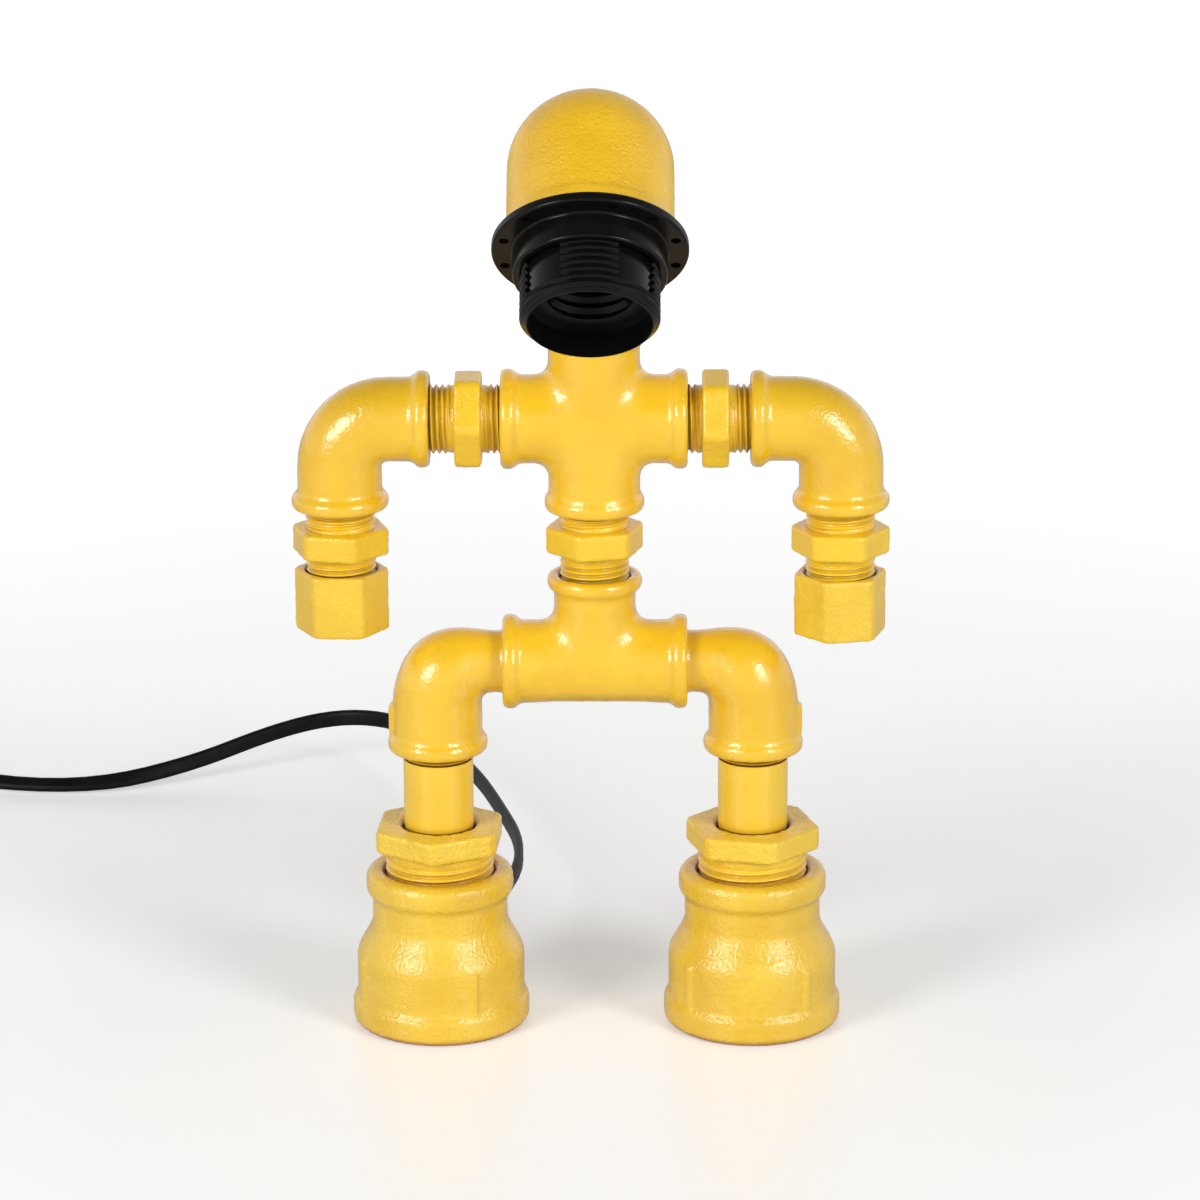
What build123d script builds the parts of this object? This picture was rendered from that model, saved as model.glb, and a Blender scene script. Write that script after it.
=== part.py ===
from build123d import *
from math import cos, pi, radians, sin, sqrt, tan
import os

os.makedirs("parts", exist_ok=True)

# Every cut runs past the metal by the overrun, and every screwed joint turns with one clearance
cut_overrun = 1.0
thread_clearance = 0.08
rest_gap = 0.3

# Pipe threads, drawn as rings: half inch, one inch and the barrel of the lampholder
half_inch_thread = 20.955
half_inch_pitch = 1.814
half_inch_depth = 1.162
one_inch_thread = 33.249
one_inch_pitch = 2.309
one_inch_depth = 1.479
flank_share = 0.4
crest_share = 0.1

# Ports of the half-inch fittings
port_depth = 15.6
elbow_port_depth = 12.6
water_bore = 16.0
mouth_chamfer = 0.9
bead_width = 3.6
bead_slope = 1.7
bead_blend = 2.4
bead_round = 1.7

# Where the body stands: heights of the two horizontal axes and the gaps left by the nipples
hip_height = 115.3
waist_gap = 20.0
waist_show = 4.8
shoulder_gap_left = 21.1
shoulder_gap_right = 18.7
shoulder_show_left = 5.6
shoulder_show_right = 4.3
forearm_gap_left = 19.0
forearm_gap_right = 20.3
forearm_show = 6.0
neck_gap = 14.0
neck_show = 3.0

# Cross of the chest
cross_reach = 28.0
cross_arm_tube = 26.7
cross_leg_tube = 27.5
cross_bead = 30.1
cross_crotch = 3.2

# Tee of the hips
tee_reach = 28.0
tee_run_tube = 25.4
tee_branch_tube = 24.6
tee_bead = 28.7
tee_crotch = 2.8
tee_branch_waterway = 15.4

# Elbows of the arms
arm_reach = 27.3
arm_tube = 25.4
arm_bead = 29.2
arm_bend = 14.5

# Street elbows of the hips: a threaded male leg and a female leg
hip_reach = 28.0
hip_male_leg = 35.0
hip_engaged = 15.0
hip_neck = 18.9
hip_leg_tube = 27.2
hip_bead = 30.4
hip_outer_bend = 18.3
hip_crotch = 3.0
hip_straight = 2.0
hip_rib_height = 9.0
hip_rib_width = 5.0
hip_rib_proud = 1.3

# Hexagon nipples
nipple_length = 44.0
nipple_bore = 15.0
nipple_hex_flats = 26.4
nipple_hex_thickness = 8.0
nipple_neck = 20.2
nipple_neck_length = 3.3
nipple_tip_chamfer = 1.0
hex_corner_cut = 1.0
hex_face_share = 0.98
waist_spin = 12.0
shoulder_spin_left = 0.0
shoulder_spin_right = 8.0
forearm_spin_left = -12.0
forearm_spin_right = -5.0
neck_spin = 0.0

# Hexagon caps for hands
cap_height = 19.0
cap_hex_flats = 25.2
cap_end_wall = 3.5
cap_corner_cut = 0.8
cap_spin_left = 2.0
cap_spin_right = -12.0

# Shins of half-inch pipe
pipe_diameter = 21.3
pipe_bore = 16.0
pipe_engaged = 12.0
pipe_thread_show = 2.6

# Ankle bushes, one inch outside and half inch inside
bush_hex_flats = 36.7
bush_hex_thickness = 7.1
bush_show = 5.6
bush_engaged = 13.0
bush_neck = 32.6
bush_neck_length = 2.4
bush_mouth_chamfer = 1.6
bush_corner_cut = 1.2
bush_spin_left = 26.0
bush_spin_right = -13.0

# Feet: reducing sockets, one inch above and one and a quarter inch below
foot_height = 48.0
foot_base_bead = 53.5
foot_base_bead_height = 7.6
foot_body = 50.6
foot_shoulder_share = 0.448
foot_neck = 40.6
foot_neck_share = 0.719
foot_top_bead = 44.3
foot_top_bead_height = 5.6
foot_base_face = 50.4
foot_bead_blend = 2.0
foot_bead_round = 2.6
foot_shoulder_round = 7.5
foot_neck_round = 5.0
foot_port_bore = 42.0
foot_port_depth = 16.0
foot_top_port_depth = 15.0
foot_chamfer = 1.2
foot_rib_count = 4
foot_rib_width = 2.2
foot_rib_proud = 0.7
foot_rib_share = 0.469
foot_rib_turn_left = 25.0
foot_rib_turn_right = 40.0

# Neck: a 45 degree street elbow that leans the head forward
lean = 45.0
neck_male_leg = 28.0
neck_engaged = 14.0
neck_reach = 22.0
neck_tube = 25.4
neck_bead = 29.0
neck_bend = 14.5
neck_male_tube = 20.0

# Head: a reducing elbow, one and a quarter inch at the face and half inch at the neck
head_mouth_reach = 33.2
head_neck_reach = 38.0
head_port_wall = 3.92
head_bead_proud = 0.6
head_bead_width = 4.0
head_bead_slope = 1.2
head_wall = 3.4
head_neck_tube = 25.4
head_neck_bead = 29.4
head_crotch = 4.0
head_port_depth = 20.0
dome_flat = 0.5
dome_rise = 1.2

# Lampholder: threaded barrel, shade ring, contact block and rear cap
barrel_diameter = 39.4
barrel_pitch = 2.3
barrel_depth = 1.1
barrel_front = 26.5
barrel_rear = 12.5
barrel_mouth_wall = 2.2
barrel_mouth_depth = 7.5
barrel_rim_round = 0.8
lamp_thread_crest = 24.5
lamp_thread_root = 27.2
lamp_thread_pitch = 3.629
lamp_thread_turns = 4
lamp_thread_drop = 1.6
lamp_well_bore = 27.2
lamp_well_depth = 4.5
recess_margin = 4.2
recess_angle = 42.0
recess_turns = (44.0, 136.0, 224.0, 316.0)
recess_depth = 1.3
ring_flange_reach = 8.05
ring_flange_thickness = 2.9
ring_collar_wall = 2.05
ring_collar_height = 8.0
ring_edge_round = 0.7
ring_hole = 2.9
ring_hole_count = 12
ring_hole_turn = 15.0
ring_hole_reach = 5.1
holder_cap_inset = 1.2
holder_cap_length = 13.0
holder_cap_wall = 2.0
holder_cap_round = 5.0
block_thickness = 8.0
block_clearance = 0.2
contact_width = 6.0
contact_thickness = 0.6
contact_rise = 2.6
contact_length = 14.0
side_contact_place_share = 0.72
terminal_spacing = 16.0
terminal_screw_head = 5.0
terminal_screw_head_height = 1.8
terminal_screw_shank = 3.0
terminal_screw_length = 4.0
terminal_slot = 0.8

# Flat two-core cord, and the same cord where the pipes hold it
cord_width = 5.6
cord_thickness = 3.3
inner_cord = 4.6
inner_bend = 9.0
lead_diameter = 2.0
lead_bend = 3.0

# Cord exit at the back of the left foot
exit_height = 22.0
exit_turn = 20.0
relief_start = 15.0
relief_length = 20.0
relief_seat = 8.0
relief_flange = 9.4
relief_flange_length = 3.0
relief_tip = 7.4
relief_groove_count = 4
relief_groove_depth = 0.6
relief_groove_width = 1.4

# Free cord from the foot to the switch: chosen points of its route after the first straight run
cord_first_run = 36.7
cord_points = [
    (-24.3, 135.2, 22.0), (-31.8, 170.2, 21.5), (-41.3, 207.2, 21.5), (-58.8, 249.2, 21.0),
    (-74.5, 271.0, 20.3), (-93.5, 279.0, 18.6), (-115.0, 273.8, 15.0), (-144.8, 261.2, 6.5),
    (-177.8, 247.7, 2.9), (-222.0, 254.6, 2.9),
]
cord_last_point = (-250.5, 263.3)
cord_last_run = 14.0
cord_into_switch = 6.0
cord_bend_share = 0.45

# In-line switch: two half shells, a rocker, contact strips and two screws
switch_heading = 163.0
switch_length = 60.0
switch_width = 27.0
switch_corner = 9.0
switch_edge = 2.0
switch_wall = 2.2
switch_passage = 0.1
rocker_length = 17.0
rocker_width = 9.6
rocker_proud = 2.2
rocker_below = 3.0
rocker_axis_drop = 1.6
rocker_clearance = 0.6
rocker_dip = 26.0
rocker_pin = 2.4
rocker_pin_length = 2.0
rocker_tip = 7.0
cheek_thickness = 3.0
cheek_drop = 4.2
switch_screw_head = 4.6
switch_screw_head_height = 2.0
switch_screw_shank = 2.6
switch_screw_spacing = 40.0
switch_screw_length = 13.0
switch_post = 6.0
strip_length = 30.0
strip_width = 4.0
strip_thickness = 0.8
strip_spacing = 12.0

# Put-away coil of the cord that is out of view, its tie and the two-pin plug
coil_radius = 38.0
coil_step = 3.9
coil_layer = 6.2
coil_half_turns = 6
coil_tail = 33.0
tie_width = 9.0
tie_wall = 0.8
tie_gap = 0.3
tie_slack = 1.3
plug_tail = 40.0
plug_rise = 16.0
plug_level_run = 8.0
plug_entry = 4.0
plug_length = 38.0
plug_width = 26.0
plug_height = 13.6
plug_cord_width = 11.0
plug_grip_width = 16.0
plug_grip_share = 0.45
plug_shoulder_share = 0.7
plug_edge = 2.2
pin_diameter = 4.0
pin_length = 19.0
pin_spacing = 18.6
pin_seat = 6.0
pin_tip = 1.2

# Heights and offsets that follow from the sizes above
chest_height = hip_height + tee_reach + waist_gap + cross_reach
leg_offset = tee_reach + hip_male_leg - hip_engaged
arm_offset_left = cross_reach + shoulder_gap_left + arm_reach
arm_offset_right = cross_reach + shoulder_gap_right + arm_reach
half_inch_bore = half_inch_thread + 2 * thread_clearance
one_inch_bore = one_inch_thread + 2 * thread_clearance
barrel_bore = barrel_diameter + 2 * thread_clearance
hex_corner = 1 / cos(radians(30))
foot_shoulder_height = foot_height * foot_shoulder_share
foot_neck_height = foot_height * foot_neck_share
foot_rib_top = foot_height * foot_rib_share
head_tube = barrel_bore + 2 * head_port_wall
head_bead = head_tube + 2 * head_bead_proud
mouth_start = barrel_front - barrel_mouth_depth
lamp_thread_top = mouth_start - lamp_thread_drop
barrel_mouth_bore = barrel_diameter - 2 * barrel_mouth_wall
recess_top = barrel_front - recess_margin
recess_diameter = barrel_diameter - 2 * recess_depth
ring_flange = barrel_diameter + 2 * ring_flange_reach
ring_collar = barrel_diameter + 2 * ring_collar_wall
ring_hole_circle = barrel_diameter + 2 * ring_hole_reach
holder_cap_diameter = barrel_diameter - 2 * holder_cap_inset

# The neck leans in the plane of symmetry; the face looks down at right angles to it
forward = Vector(0, -1, 0)
up = Vector(0, 0, 1)
neck_axis = forward * sin(radians(lean)) + up * cos(radians(lean))
face_axis = forward * cos(radians(lean)) - up * sin(radians(lean))
neck_corner_height = chest_height + cross_reach + neck_male_leg - neck_engaged
neck_run = neck_reach + neck_gap + head_neck_reach

# The body stands so that its box is centred over the origin
forearm_corner = nipple_hex_flats / 2 * hex_corner
reach_left = arm_offset_left + forearm_corner * cos(radians(forearm_spin_left))
reach_right = arm_offset_right + forearm_corner * cos(radians(forearm_spin_right))
barrel_rim = barrel_diameter / 2 - barrel_depth
face_run = head_mouth_reach + barrel_front - barrel_rim_round
reach_forward = (neck_run + barrel_rim) * sin(radians(lean)) + face_run * cos(radians(lean))
body_x = (reach_left - reach_right) / 2
body_y = (reach_forward - foot_base_bead / 2) / 2
body = Vector(body_x, body_y, 0)
hips = body + up * hip_height
chest = body + up * chest_height
neck_corner = body + up * neck_corner_height
head_corner = neck_corner + neck_axis * neck_run
face = head_corner + face_axis * head_mouth_reach
face_plane = Plane(face, x_dir=(1, 0, 0), z_dir=face_axis)


def axis_plane(origin, direction):
    """Plane whose Z runs along a fitting's axis and whose X lies level."""
    level = Vector(1, 0, 0) if abs(direction.X) < sin(radians(lean)) else Vector(0, 1, 0)
    return Plane(origin, x_dir=level, z_dir=direction)


def lathe(plane, outline):
    """Turn an outline of (radius, height, rounding) corners about the plane's Z axis."""
    side = Plane(plane.origin, x_dir=plane.x_dir, z_dir=plane.x_dir.cross(plane.z_dir))
    with BuildPart() as turned:
        with BuildSketch(side) as section:
            with BuildLine():
                Polyline([(radius, height) for radius, height, rounding in outline], close=True)
            make_face()
            for radius, height, rounding in outline:
                if rounding:
                    fillet(section.vertices().sort_by_distance((radius, height))[0], rounding)
        revolve(axis=Axis(plane.origin, plane.z_dir))
    return turned.part


def ridges(start, end, diameter, pitch, depth):
    """Corners of the thread rings that fit between two heights, from the lower one up."""
    crest = diameter / 2
    root = crest - depth
    corners = []
    for turn in range(int(round((end - start) / pitch, 6))):
        foot = start + turn * pitch
        corners.append((root, foot, 0))
        corners.append((crest, foot + flank_share * pitch, 0))
        corners.append((crest, foot + (flank_share + crest_share) * pitch, 0))
        corners.append((root, foot + (2 * flank_share + crest_share) * pitch, 0))
    return corners


def port_body(plane, start, reach, tube, bead):
    """Outside of one port: a tube with a rolled bead at its mouth."""
    slope_end = reach - bead_width
    return lathe(plane, [
        (0, start, 0),
        (tube / 2, start, 0),
        (tube / 2, slope_end - bead_slope, bead_blend),
        (bead / 2, slope_end, bead_blend / 2),
        (bead / 2, reach, bead_round),
        (0, reach, 0),
    ])


def port_bore(plane, reach, depth=port_depth, waterway=water_bore):
    """Waterway and tapped bore of one half-inch port, with its chamfered mouth."""
    seat = reach - depth
    return lathe(plane, [
        (0, 0, 0),
        (waterway / 2, 0, 0),
        (waterway / 2, seat, 0),
        (half_inch_bore / 2, seat, 0),
        (half_inch_bore / 2, reach - mouth_chamfer, 0),
        (half_inch_bore / 2 + mouth_chamfer, reach, 0),
        (half_inch_bore / 2 + mouth_chamfer, reach + cut_overrun, 0),
        (0, reach + cut_overrun, 0),
    ])


def bent_rod(start, end, tangent, diameter):
    """Round rod along one arc that leaves the start along the tangent."""
    with BuildPart() as rod:
        with BuildLine():
            TangentArc(start, end, tangent=tangent)
        with BuildSketch(Plane(start, z_dir=tangent)):
            Circle(diameter / 2)
        sweep()
    return rod.part


def quarter_bend(corner, inward, set_back, diameter):
    """Round quarter bend between a level leg and a leg that hangs down from the corner."""
    level_end = corner + inward * set_back
    low_end = corner - up * set_back
    if inward.X > 0:
        return bent_rod(level_end, low_end, -inward, diameter)
    return bent_rod(low_end, level_end, up, diameter)


def routed_rod(points, radii, diameter):
    """Round rod along straight runs joined by tangent arcs."""
    with BuildPart() as rod:
        with BuildLine():
            FilletPolyline(points, radius=radii)
        with BuildSketch(Plane(points[0], z_dir=points[1] - points[0])):
            Circle(diameter / 2)
        sweep()
    return rod.part


def hex_block(plane, flats, thickness, corner_cut, spin):
    """Hexagon prism on a plane, with its corners turned off at both faces."""
    corner = flats / 2 * hex_corner
    inner = flats / 2 * hex_face_share
    disc = lathe(plane, [
        (0, 0, 0), (inner, 0, 0), (corner, corner_cut, 0),
        (corner, thickness - corner_cut, 0), (inner, thickness, 0), (0, thickness, 0),
    ])
    with BuildPart() as block:
        with BuildSketch(plane):
            RegularPolygon(flats / 2, side_count=6, major_radius=False, rotation=spin)
        extrude(amount=thickness)
        add(disc, mode=Mode.INTERSECT)
    return block.part


def male_end(start, end, diameter, pitch, depth, neck, neck_length, tip_chamfer):
    """Corners of a threaded end, from a plain neck at the start to its chamfered tip."""
    root = diameter / 2 - depth
    return ([(0, start, 0), (neck / 2, start, 0), (neck / 2, start + neck_length, 0)]
            + ridges(start + neck_length, end - tip_chamfer, diameter, pitch, depth)
            + [(root, end - tip_chamfer, 0), (root - tip_chamfer, end, 0), (0, end, 0)])


def finish(piece, name):
    """Label a piece and write it to its own file."""
    piece.label = name
    export_step(piece, f"parts/{name}.step")


def hex_nipple(name, plane, spin):
    """Hexagon nipple whose hexagon is centred on the plane."""
    half_hex = nipple_hex_thickness / 2
    end = nipple_length / 2
    block = hex_block(plane.offset(-half_hex), nipple_hex_flats, nipple_hex_thickness, hex_corner_cut, spin)
    male = male_end(0, end, half_inch_thread, half_inch_pitch, half_inch_depth,
                    nipple_neck, half_hex + nipple_neck_length, nipple_tip_chamfer)
    with BuildPart() as nipple:
        add(block)
        add(lathe(plane, male))
        add(lathe(Plane(plane.origin, x_dir=plane.x_dir, z_dir=-plane.z_dir), male))
        with BuildSketch(plane.offset(-end - cut_overrun)):
            Circle(nipple_bore / 2)
        extrude(amount=nipple_length + 2 * cut_overrun, mode=Mode.SUBTRACT)
    finish(nipple.part, name)


# Chest: a cross whose four ports lie in the plane of the body
sideways = [Vector(-1, 0, 0), Vector(1, 0, 0)]
with BuildPart() as chest_cross:
    for direction in (up, -up):
        add(port_body(axis_plane(chest, direction), 0, cross_reach, cross_leg_tube, cross_bead))
    for direction in sideways:
        add(port_body(axis_plane(chest, direction), 0, cross_reach, cross_arm_tube, cross_bead))
    bent_edges = chest_cross.edges().filter_by(GeomType.CIRCLE, reverse=True)
    crotches = bent_edges.filter_by(GeomType.LINE, reverse=True)
    fillet(crotches, cross_crotch)
    for direction in (up, -up, *sideways):
        add(port_bore(axis_plane(chest, direction), cross_reach), mode=Mode.SUBTRACT)
finish(chest_cross.part, "chest_cross")

# Hips: a tee with its run level and its branch up to the waist
with BuildPart() as hip_tee:
    for direction in sideways:
        run_plane = Plane(hips, x_dir=-up, z_dir=direction)
        add(port_body(run_plane, 0, tee_reach, tee_run_tube, tee_bead))
    add(port_body(axis_plane(hips, up), 0, tee_reach, tee_branch_tube, tee_bead))
    crotches = hip_tee.edges().filter_by(GeomType.CIRCLE, reverse=True).filter_by(GeomType.LINE, reverse=True)
    fillet(crotches, tee_crotch)
    for direction in sideways:
        add(port_bore(axis_plane(hips, direction), tee_reach), mode=Mode.SUBTRACT)
    add(port_bore(axis_plane(hips, up), tee_reach, port_depth, tee_branch_waterway), mode=Mode.SUBTRACT)
finish(hip_tee.part, "hip_tee")

# Nipples of the waist and shoulders, placed by what shows beside their hexagons
half_hex_thickness = nipple_hex_thickness / 2
waist_centre = chest - up * (cross_reach + waist_show + half_hex_thickness)
hex_nipple("waist_nipple", axis_plane(waist_centre, up), waist_spin)
left_shoulder = chest - Vector(1, 0, 0) * (cross_reach + shoulder_show_left + half_hex_thickness)
right_shoulder = chest + Vector(1, 0, 0) * (cross_reach + shoulder_show_right + half_hex_thickness)
hex_nipple("shoulder_nipple_left", axis_plane(left_shoulder, Vector(-1, 0, 0)), shoulder_spin_left)
hex_nipple("shoulder_nipple_right", axis_plane(right_shoulder, Vector(1, 0, 0)), shoulder_spin_right)


def arm(side, offset, gap, nipple_spin, cap_spin, word):
    """One arm: an elbow on the shoulder, a forearm nipple and a cap for a hand."""
    corner = chest + Vector(side, 0, 0) * offset
    origin = Vector(0, 0, 0)
    inward = Vector(1, 0, 0)
    with BuildPart() as elbow:
        add(quarter_bend(origin, inward, arm_bend, arm_tube))
        for direction in (inward, -up):
            add(port_body(axis_plane(origin, direction), arm_bend, arm_reach, arm_tube, arm_bead))
        add(quarter_bend(origin, inward, arm_bend, water_bore), mode=Mode.SUBTRACT)
        for direction in (inward, -up):
            bore_start = axis_plane(direction * arm_bend, direction)
            add(port_bore(bore_start, arm_reach - arm_bend, elbow_port_depth), mode=Mode.SUBTRACT)
    facing = Location(corner) if side < 0 else Location(corner, (0, 0, 180))
    finish(elbow.part.moved(facing), f"arm_elbow_{word}")
    hand_face = corner - up * (arm_reach + gap)
    nipple_centre = corner - up * (arm_reach + forearm_show + half_hex_thickness)
    hex_nipple(f"forearm_nipple_{word}", axis_plane(nipple_centre, up), nipple_spin)
    block = hex_block(axis_plane(hand_face, -up), cap_hex_flats, cap_height, cap_corner_cut, cap_spin)
    blind = cap_height - cap_end_wall
    with BuildPart() as hand:
        add(block)
        add(lathe(axis_plane(hand_face, -up), [
            (0, -cut_overrun, 0),
            (half_inch_bore / 2 + mouth_chamfer, -cut_overrun, 0),
            (half_inch_bore / 2 + mouth_chamfer, 0, 0),
            (half_inch_bore / 2, mouth_chamfer, 0),
            (half_inch_bore / 2, blind, 0),
            (0, blind, 0),
        ]), mode=Mode.SUBTRACT)
    finish(hand.part, f"hand_cap_{word}")


arm(-1, arm_offset_left, forearm_gap_left, forearm_spin_left, cap_spin_left, "left")
arm(1, arm_offset_right, forearm_gap_right, forearm_spin_right, cap_spin_right, "right")

# Ankle heights that both legs share
hex_bottom = foot_height + bush_show
hex_top = hex_bottom + bush_hex_thickness
hip_face_height = hip_height - hip_reach


def hip_elbow(side, word):
    """Street elbow: a slim threaded leg into the tee and a wide leg down to the shin."""
    corner = hips + Vector(side, 0, 0) * leg_offset
    inward = Vector(-side, 0, 0)
    slim = hip_neck / 2
    wide = hip_leg_tube / 2
    pivot = corner + inward * (wide + hip_crotch) - up * (slim + hip_crotch)
    outer = corner + inward * (hip_outer_bend - wide) - up * (hip_outer_bend - slim)
    slant = (up - inward).normalized()
    toward = (pivot - outer).dot(slant)
    spread = (pivot - outer).dot(pivot - outer) - hip_outer_bend ** 2
    far_side = sqrt(toward ** 2 - spread) - toward
    middle = (far_side - hip_crotch) / 2
    sections = [
        (pivot + up * (slim + hip_crotch) + inward * hip_straight, inward, slim),
        (pivot + up * (slim + hip_crotch), inward, slim),
        (pivot + slant * (hip_crotch + middle), (inward + up).normalized(), middle),
        (pivot - inward * (wide + hip_crotch), up, wide),
        (pivot - inward * (wide + hip_crotch) - up * hip_straight, up, wide),
    ]
    male_start = wide + hip_crotch + hip_straight
    thread_start = hip_male_leg - hip_engaged - male_start
    leg_start = slim + hip_crotch + hip_straight
    rib_middle = corner - up * (hip_reach - bead_width - bead_slope - hip_rib_height / 2)
    rib_depth = wide + hip_rib_proud
    bend = wide
    with BuildPart() as elbow:
        for origin, normal, radius in sections:
            with BuildSketch(Plane(origin, x_dir=(0, 1, 0), z_dir=normal)):
                Circle(radius)
        loft()
        add(lathe(axis_plane(corner + inward * male_start, inward), male_end(
            0, hip_male_leg - male_start, half_inch_thread, half_inch_pitch, half_inch_depth,
            hip_neck, thread_start, nipple_tip_chamfer)))
        add(port_body(axis_plane(corner, -up), leg_start, hip_reach, hip_leg_tube, hip_bead))
        with BuildSketch(Plane(rib_middle, x_dir=(0, 1, 0), z_dir=-inward)):
            RectangleRounded(hip_rib_width, hip_rib_height, hip_rib_width / 4)
        extrude(amount=rib_depth)
        add(quarter_bend(corner, inward, bend, water_bore), mode=Mode.SUBTRACT)
        with BuildSketch(axis_plane(corner + inward * bend, inward)):
            Circle(water_bore / 2)
        extrude(amount=hip_male_leg - bend + cut_overrun, mode=Mode.SUBTRACT)
        add(port_bore(axis_plane(corner - up * bend, -up), hip_reach - bend, elbow_port_depth),
            mode=Mode.SUBTRACT)
    finish(elbow.part, f"hip_elbow_{word}")


def shin(side, word):
    """Length of half-inch pipe, threaded at both ends."""
    centre = body + Vector(side, 0, 0) * leg_offset
    low_end = hex_top - pipe_engaged
    high_end = hip_face_height + pipe_engaged
    middle = centre + up * (low_end + high_end) / 2
    half = (high_end - low_end) / 2
    plain = half - pipe_engaged - pipe_thread_show
    male = male_end(0, half, half_inch_thread, half_inch_pitch, half_inch_depth,
                    pipe_diameter, plain, nipple_tip_chamfer)
    with BuildPart() as pipe:
        for direction in (up, -up):
            add(lathe(axis_plane(middle, direction), male))
        with BuildSketch(Plane.XY.offset(low_end - cut_overrun)):
            with Locations((centre.X, centre.Y)):
                Circle(pipe_bore / 2)
        extrude(amount=2 * (half + cut_overrun), mode=Mode.SUBTRACT)
    finish(pipe.part, f"shin_pipe_{word}")


def ankle_bush(side, spin, word):
    """Hexagon bush that reduces the foot's one-inch port to the half-inch shin."""
    centre = body + Vector(side, 0, 0) * leg_offset + up * hex_bottom
    block = hex_block(axis_plane(centre, up), bush_hex_flats, bush_hex_thickness, bush_corner_cut, spin)
    thread_length = bush_show + bush_engaged
    with BuildPart() as bush:
        add(block)
        add(lathe(axis_plane(centre, -up), male_end(
            0, thread_length, one_inch_thread, one_inch_pitch, one_inch_depth,
            bush_neck, bush_neck_length, nipple_tip_chamfer)))
        add(lathe(axis_plane(centre, up), [
            (0, -thread_length - cut_overrun, 0),
            (water_bore / 2, -thread_length - cut_overrun, 0),
            (water_bore / 2, bush_hex_thickness - port_depth, 0),
            (half_inch_bore / 2, bush_hex_thickness - port_depth, 0),
            (half_inch_bore / 2, bush_hex_thickness - bush_mouth_chamfer, 0),
            (half_inch_bore / 2 + bush_mouth_chamfer, bush_hex_thickness, 0),
            (half_inch_bore / 2 + bush_mouth_chamfer, bush_hex_thickness + cut_overrun, 0),
            (0, bush_hex_thickness + cut_overrun, 0),
        ]), mode=Mode.SUBTRACT)
    finish(bush.part, f"ankle_bush_{word}")


def foot(side, rib_turn, word, exit_plane=None):
    """Reducing socket with its wide end down, and a hole for the cord where one leaves."""
    centre = body + Vector(side, 0, 0) * leg_offset
    stand = axis_plane(centre, up)
    top_bead_start = foot_height - foot_top_bead_height
    neck_step = (foot_top_bead - foot_neck) / 2
    body_step = (foot_base_bead - foot_body) / 2
    outside = lathe(stand, [
        (0, 0, 0),
        (foot_base_face / 2, 0, 0),
        (foot_base_bead / 2, (foot_base_bead - foot_base_face) / 2, foot_bead_blend),
        (foot_base_bead / 2, foot_base_bead_height, foot_bead_round),
        (foot_body / 2, foot_base_bead_height + body_step, foot_bead_blend),
        (foot_body / 2, foot_shoulder_height, foot_shoulder_round),
        (foot_neck / 2, foot_neck_height, foot_neck_round),
        (foot_neck / 2, top_bead_start - neck_step, foot_bead_blend),
        (foot_top_bead / 2, top_bead_start, foot_bead_blend / 2),
        (foot_top_bead / 2, foot_height, foot_bead_round),
        (0, foot_height, 0),
    ])
    top_seat = foot_height - foot_top_port_depth
    inside = lathe(stand, [
        (0, -cut_overrun, 0),
        (foot_port_bore / 2 + foot_chamfer, -cut_overrun, 0),
        (foot_port_bore / 2 + foot_chamfer, 0, 0),
        (foot_port_bore / 2, foot_chamfer, 0),
        (foot_port_bore / 2, foot_port_depth, 0),
        (one_inch_bore / 2, top_seat - foot_chamfer, 0),
        (one_inch_bore / 2, foot_height - foot_chamfer, 0),
        (one_inch_bore / 2 + foot_chamfer, foot_height, 0),
        (one_inch_bore / 2 + foot_chamfer, foot_height + cut_overrun, 0),
        (0, foot_height + cut_overrun, 0),
    ])
    with BuildPart() as socket:
        add(outside)
        with BuildSketch(Plane.XY.offset(foot_base_bead_height)):
            with Locations((centre.X, centre.Y)):
                with PolarLocations(foot_body / 2, foot_rib_count, start_angle=rib_turn):
                    RectangleRounded(2 * foot_rib_proud, foot_rib_width, foot_rib_proud / 2)
        extrude(amount=foot_rib_top - foot_base_bead_height)
        add(inside, mode=Mode.SUBTRACT)
        if exit_plane:
            with BuildSketch(exit_plane):
                Circle(relief_seat / 2 + thread_clearance)
            extrude(amount=foot_base_bead, mode=Mode.SUBTRACT)
    finish(socket.part, f"foot_{word}")


# The cord leaves the left foot at its back, turned a little to the right
left_foot = body - Vector(1, 0, 0) * leg_offset
exit_way = Vector(sin(radians(exit_turn)), cos(radians(exit_turn)), 0)
exit_start = left_foot + up * exit_height
exit_plane = Plane(exit_start, x_dir=up, z_dir=exit_way)
foot(-1, foot_rib_turn_left, "left", exit_plane)
foot(1, foot_rib_turn_right, "right")
for side, bush_spin, word in ((-1, bush_spin_left, "left"), (1, bush_spin_right, "right")):
    hip_elbow(side, word)
    shin(side, word)
    ankle_bush(side, bush_spin, word)

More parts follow.
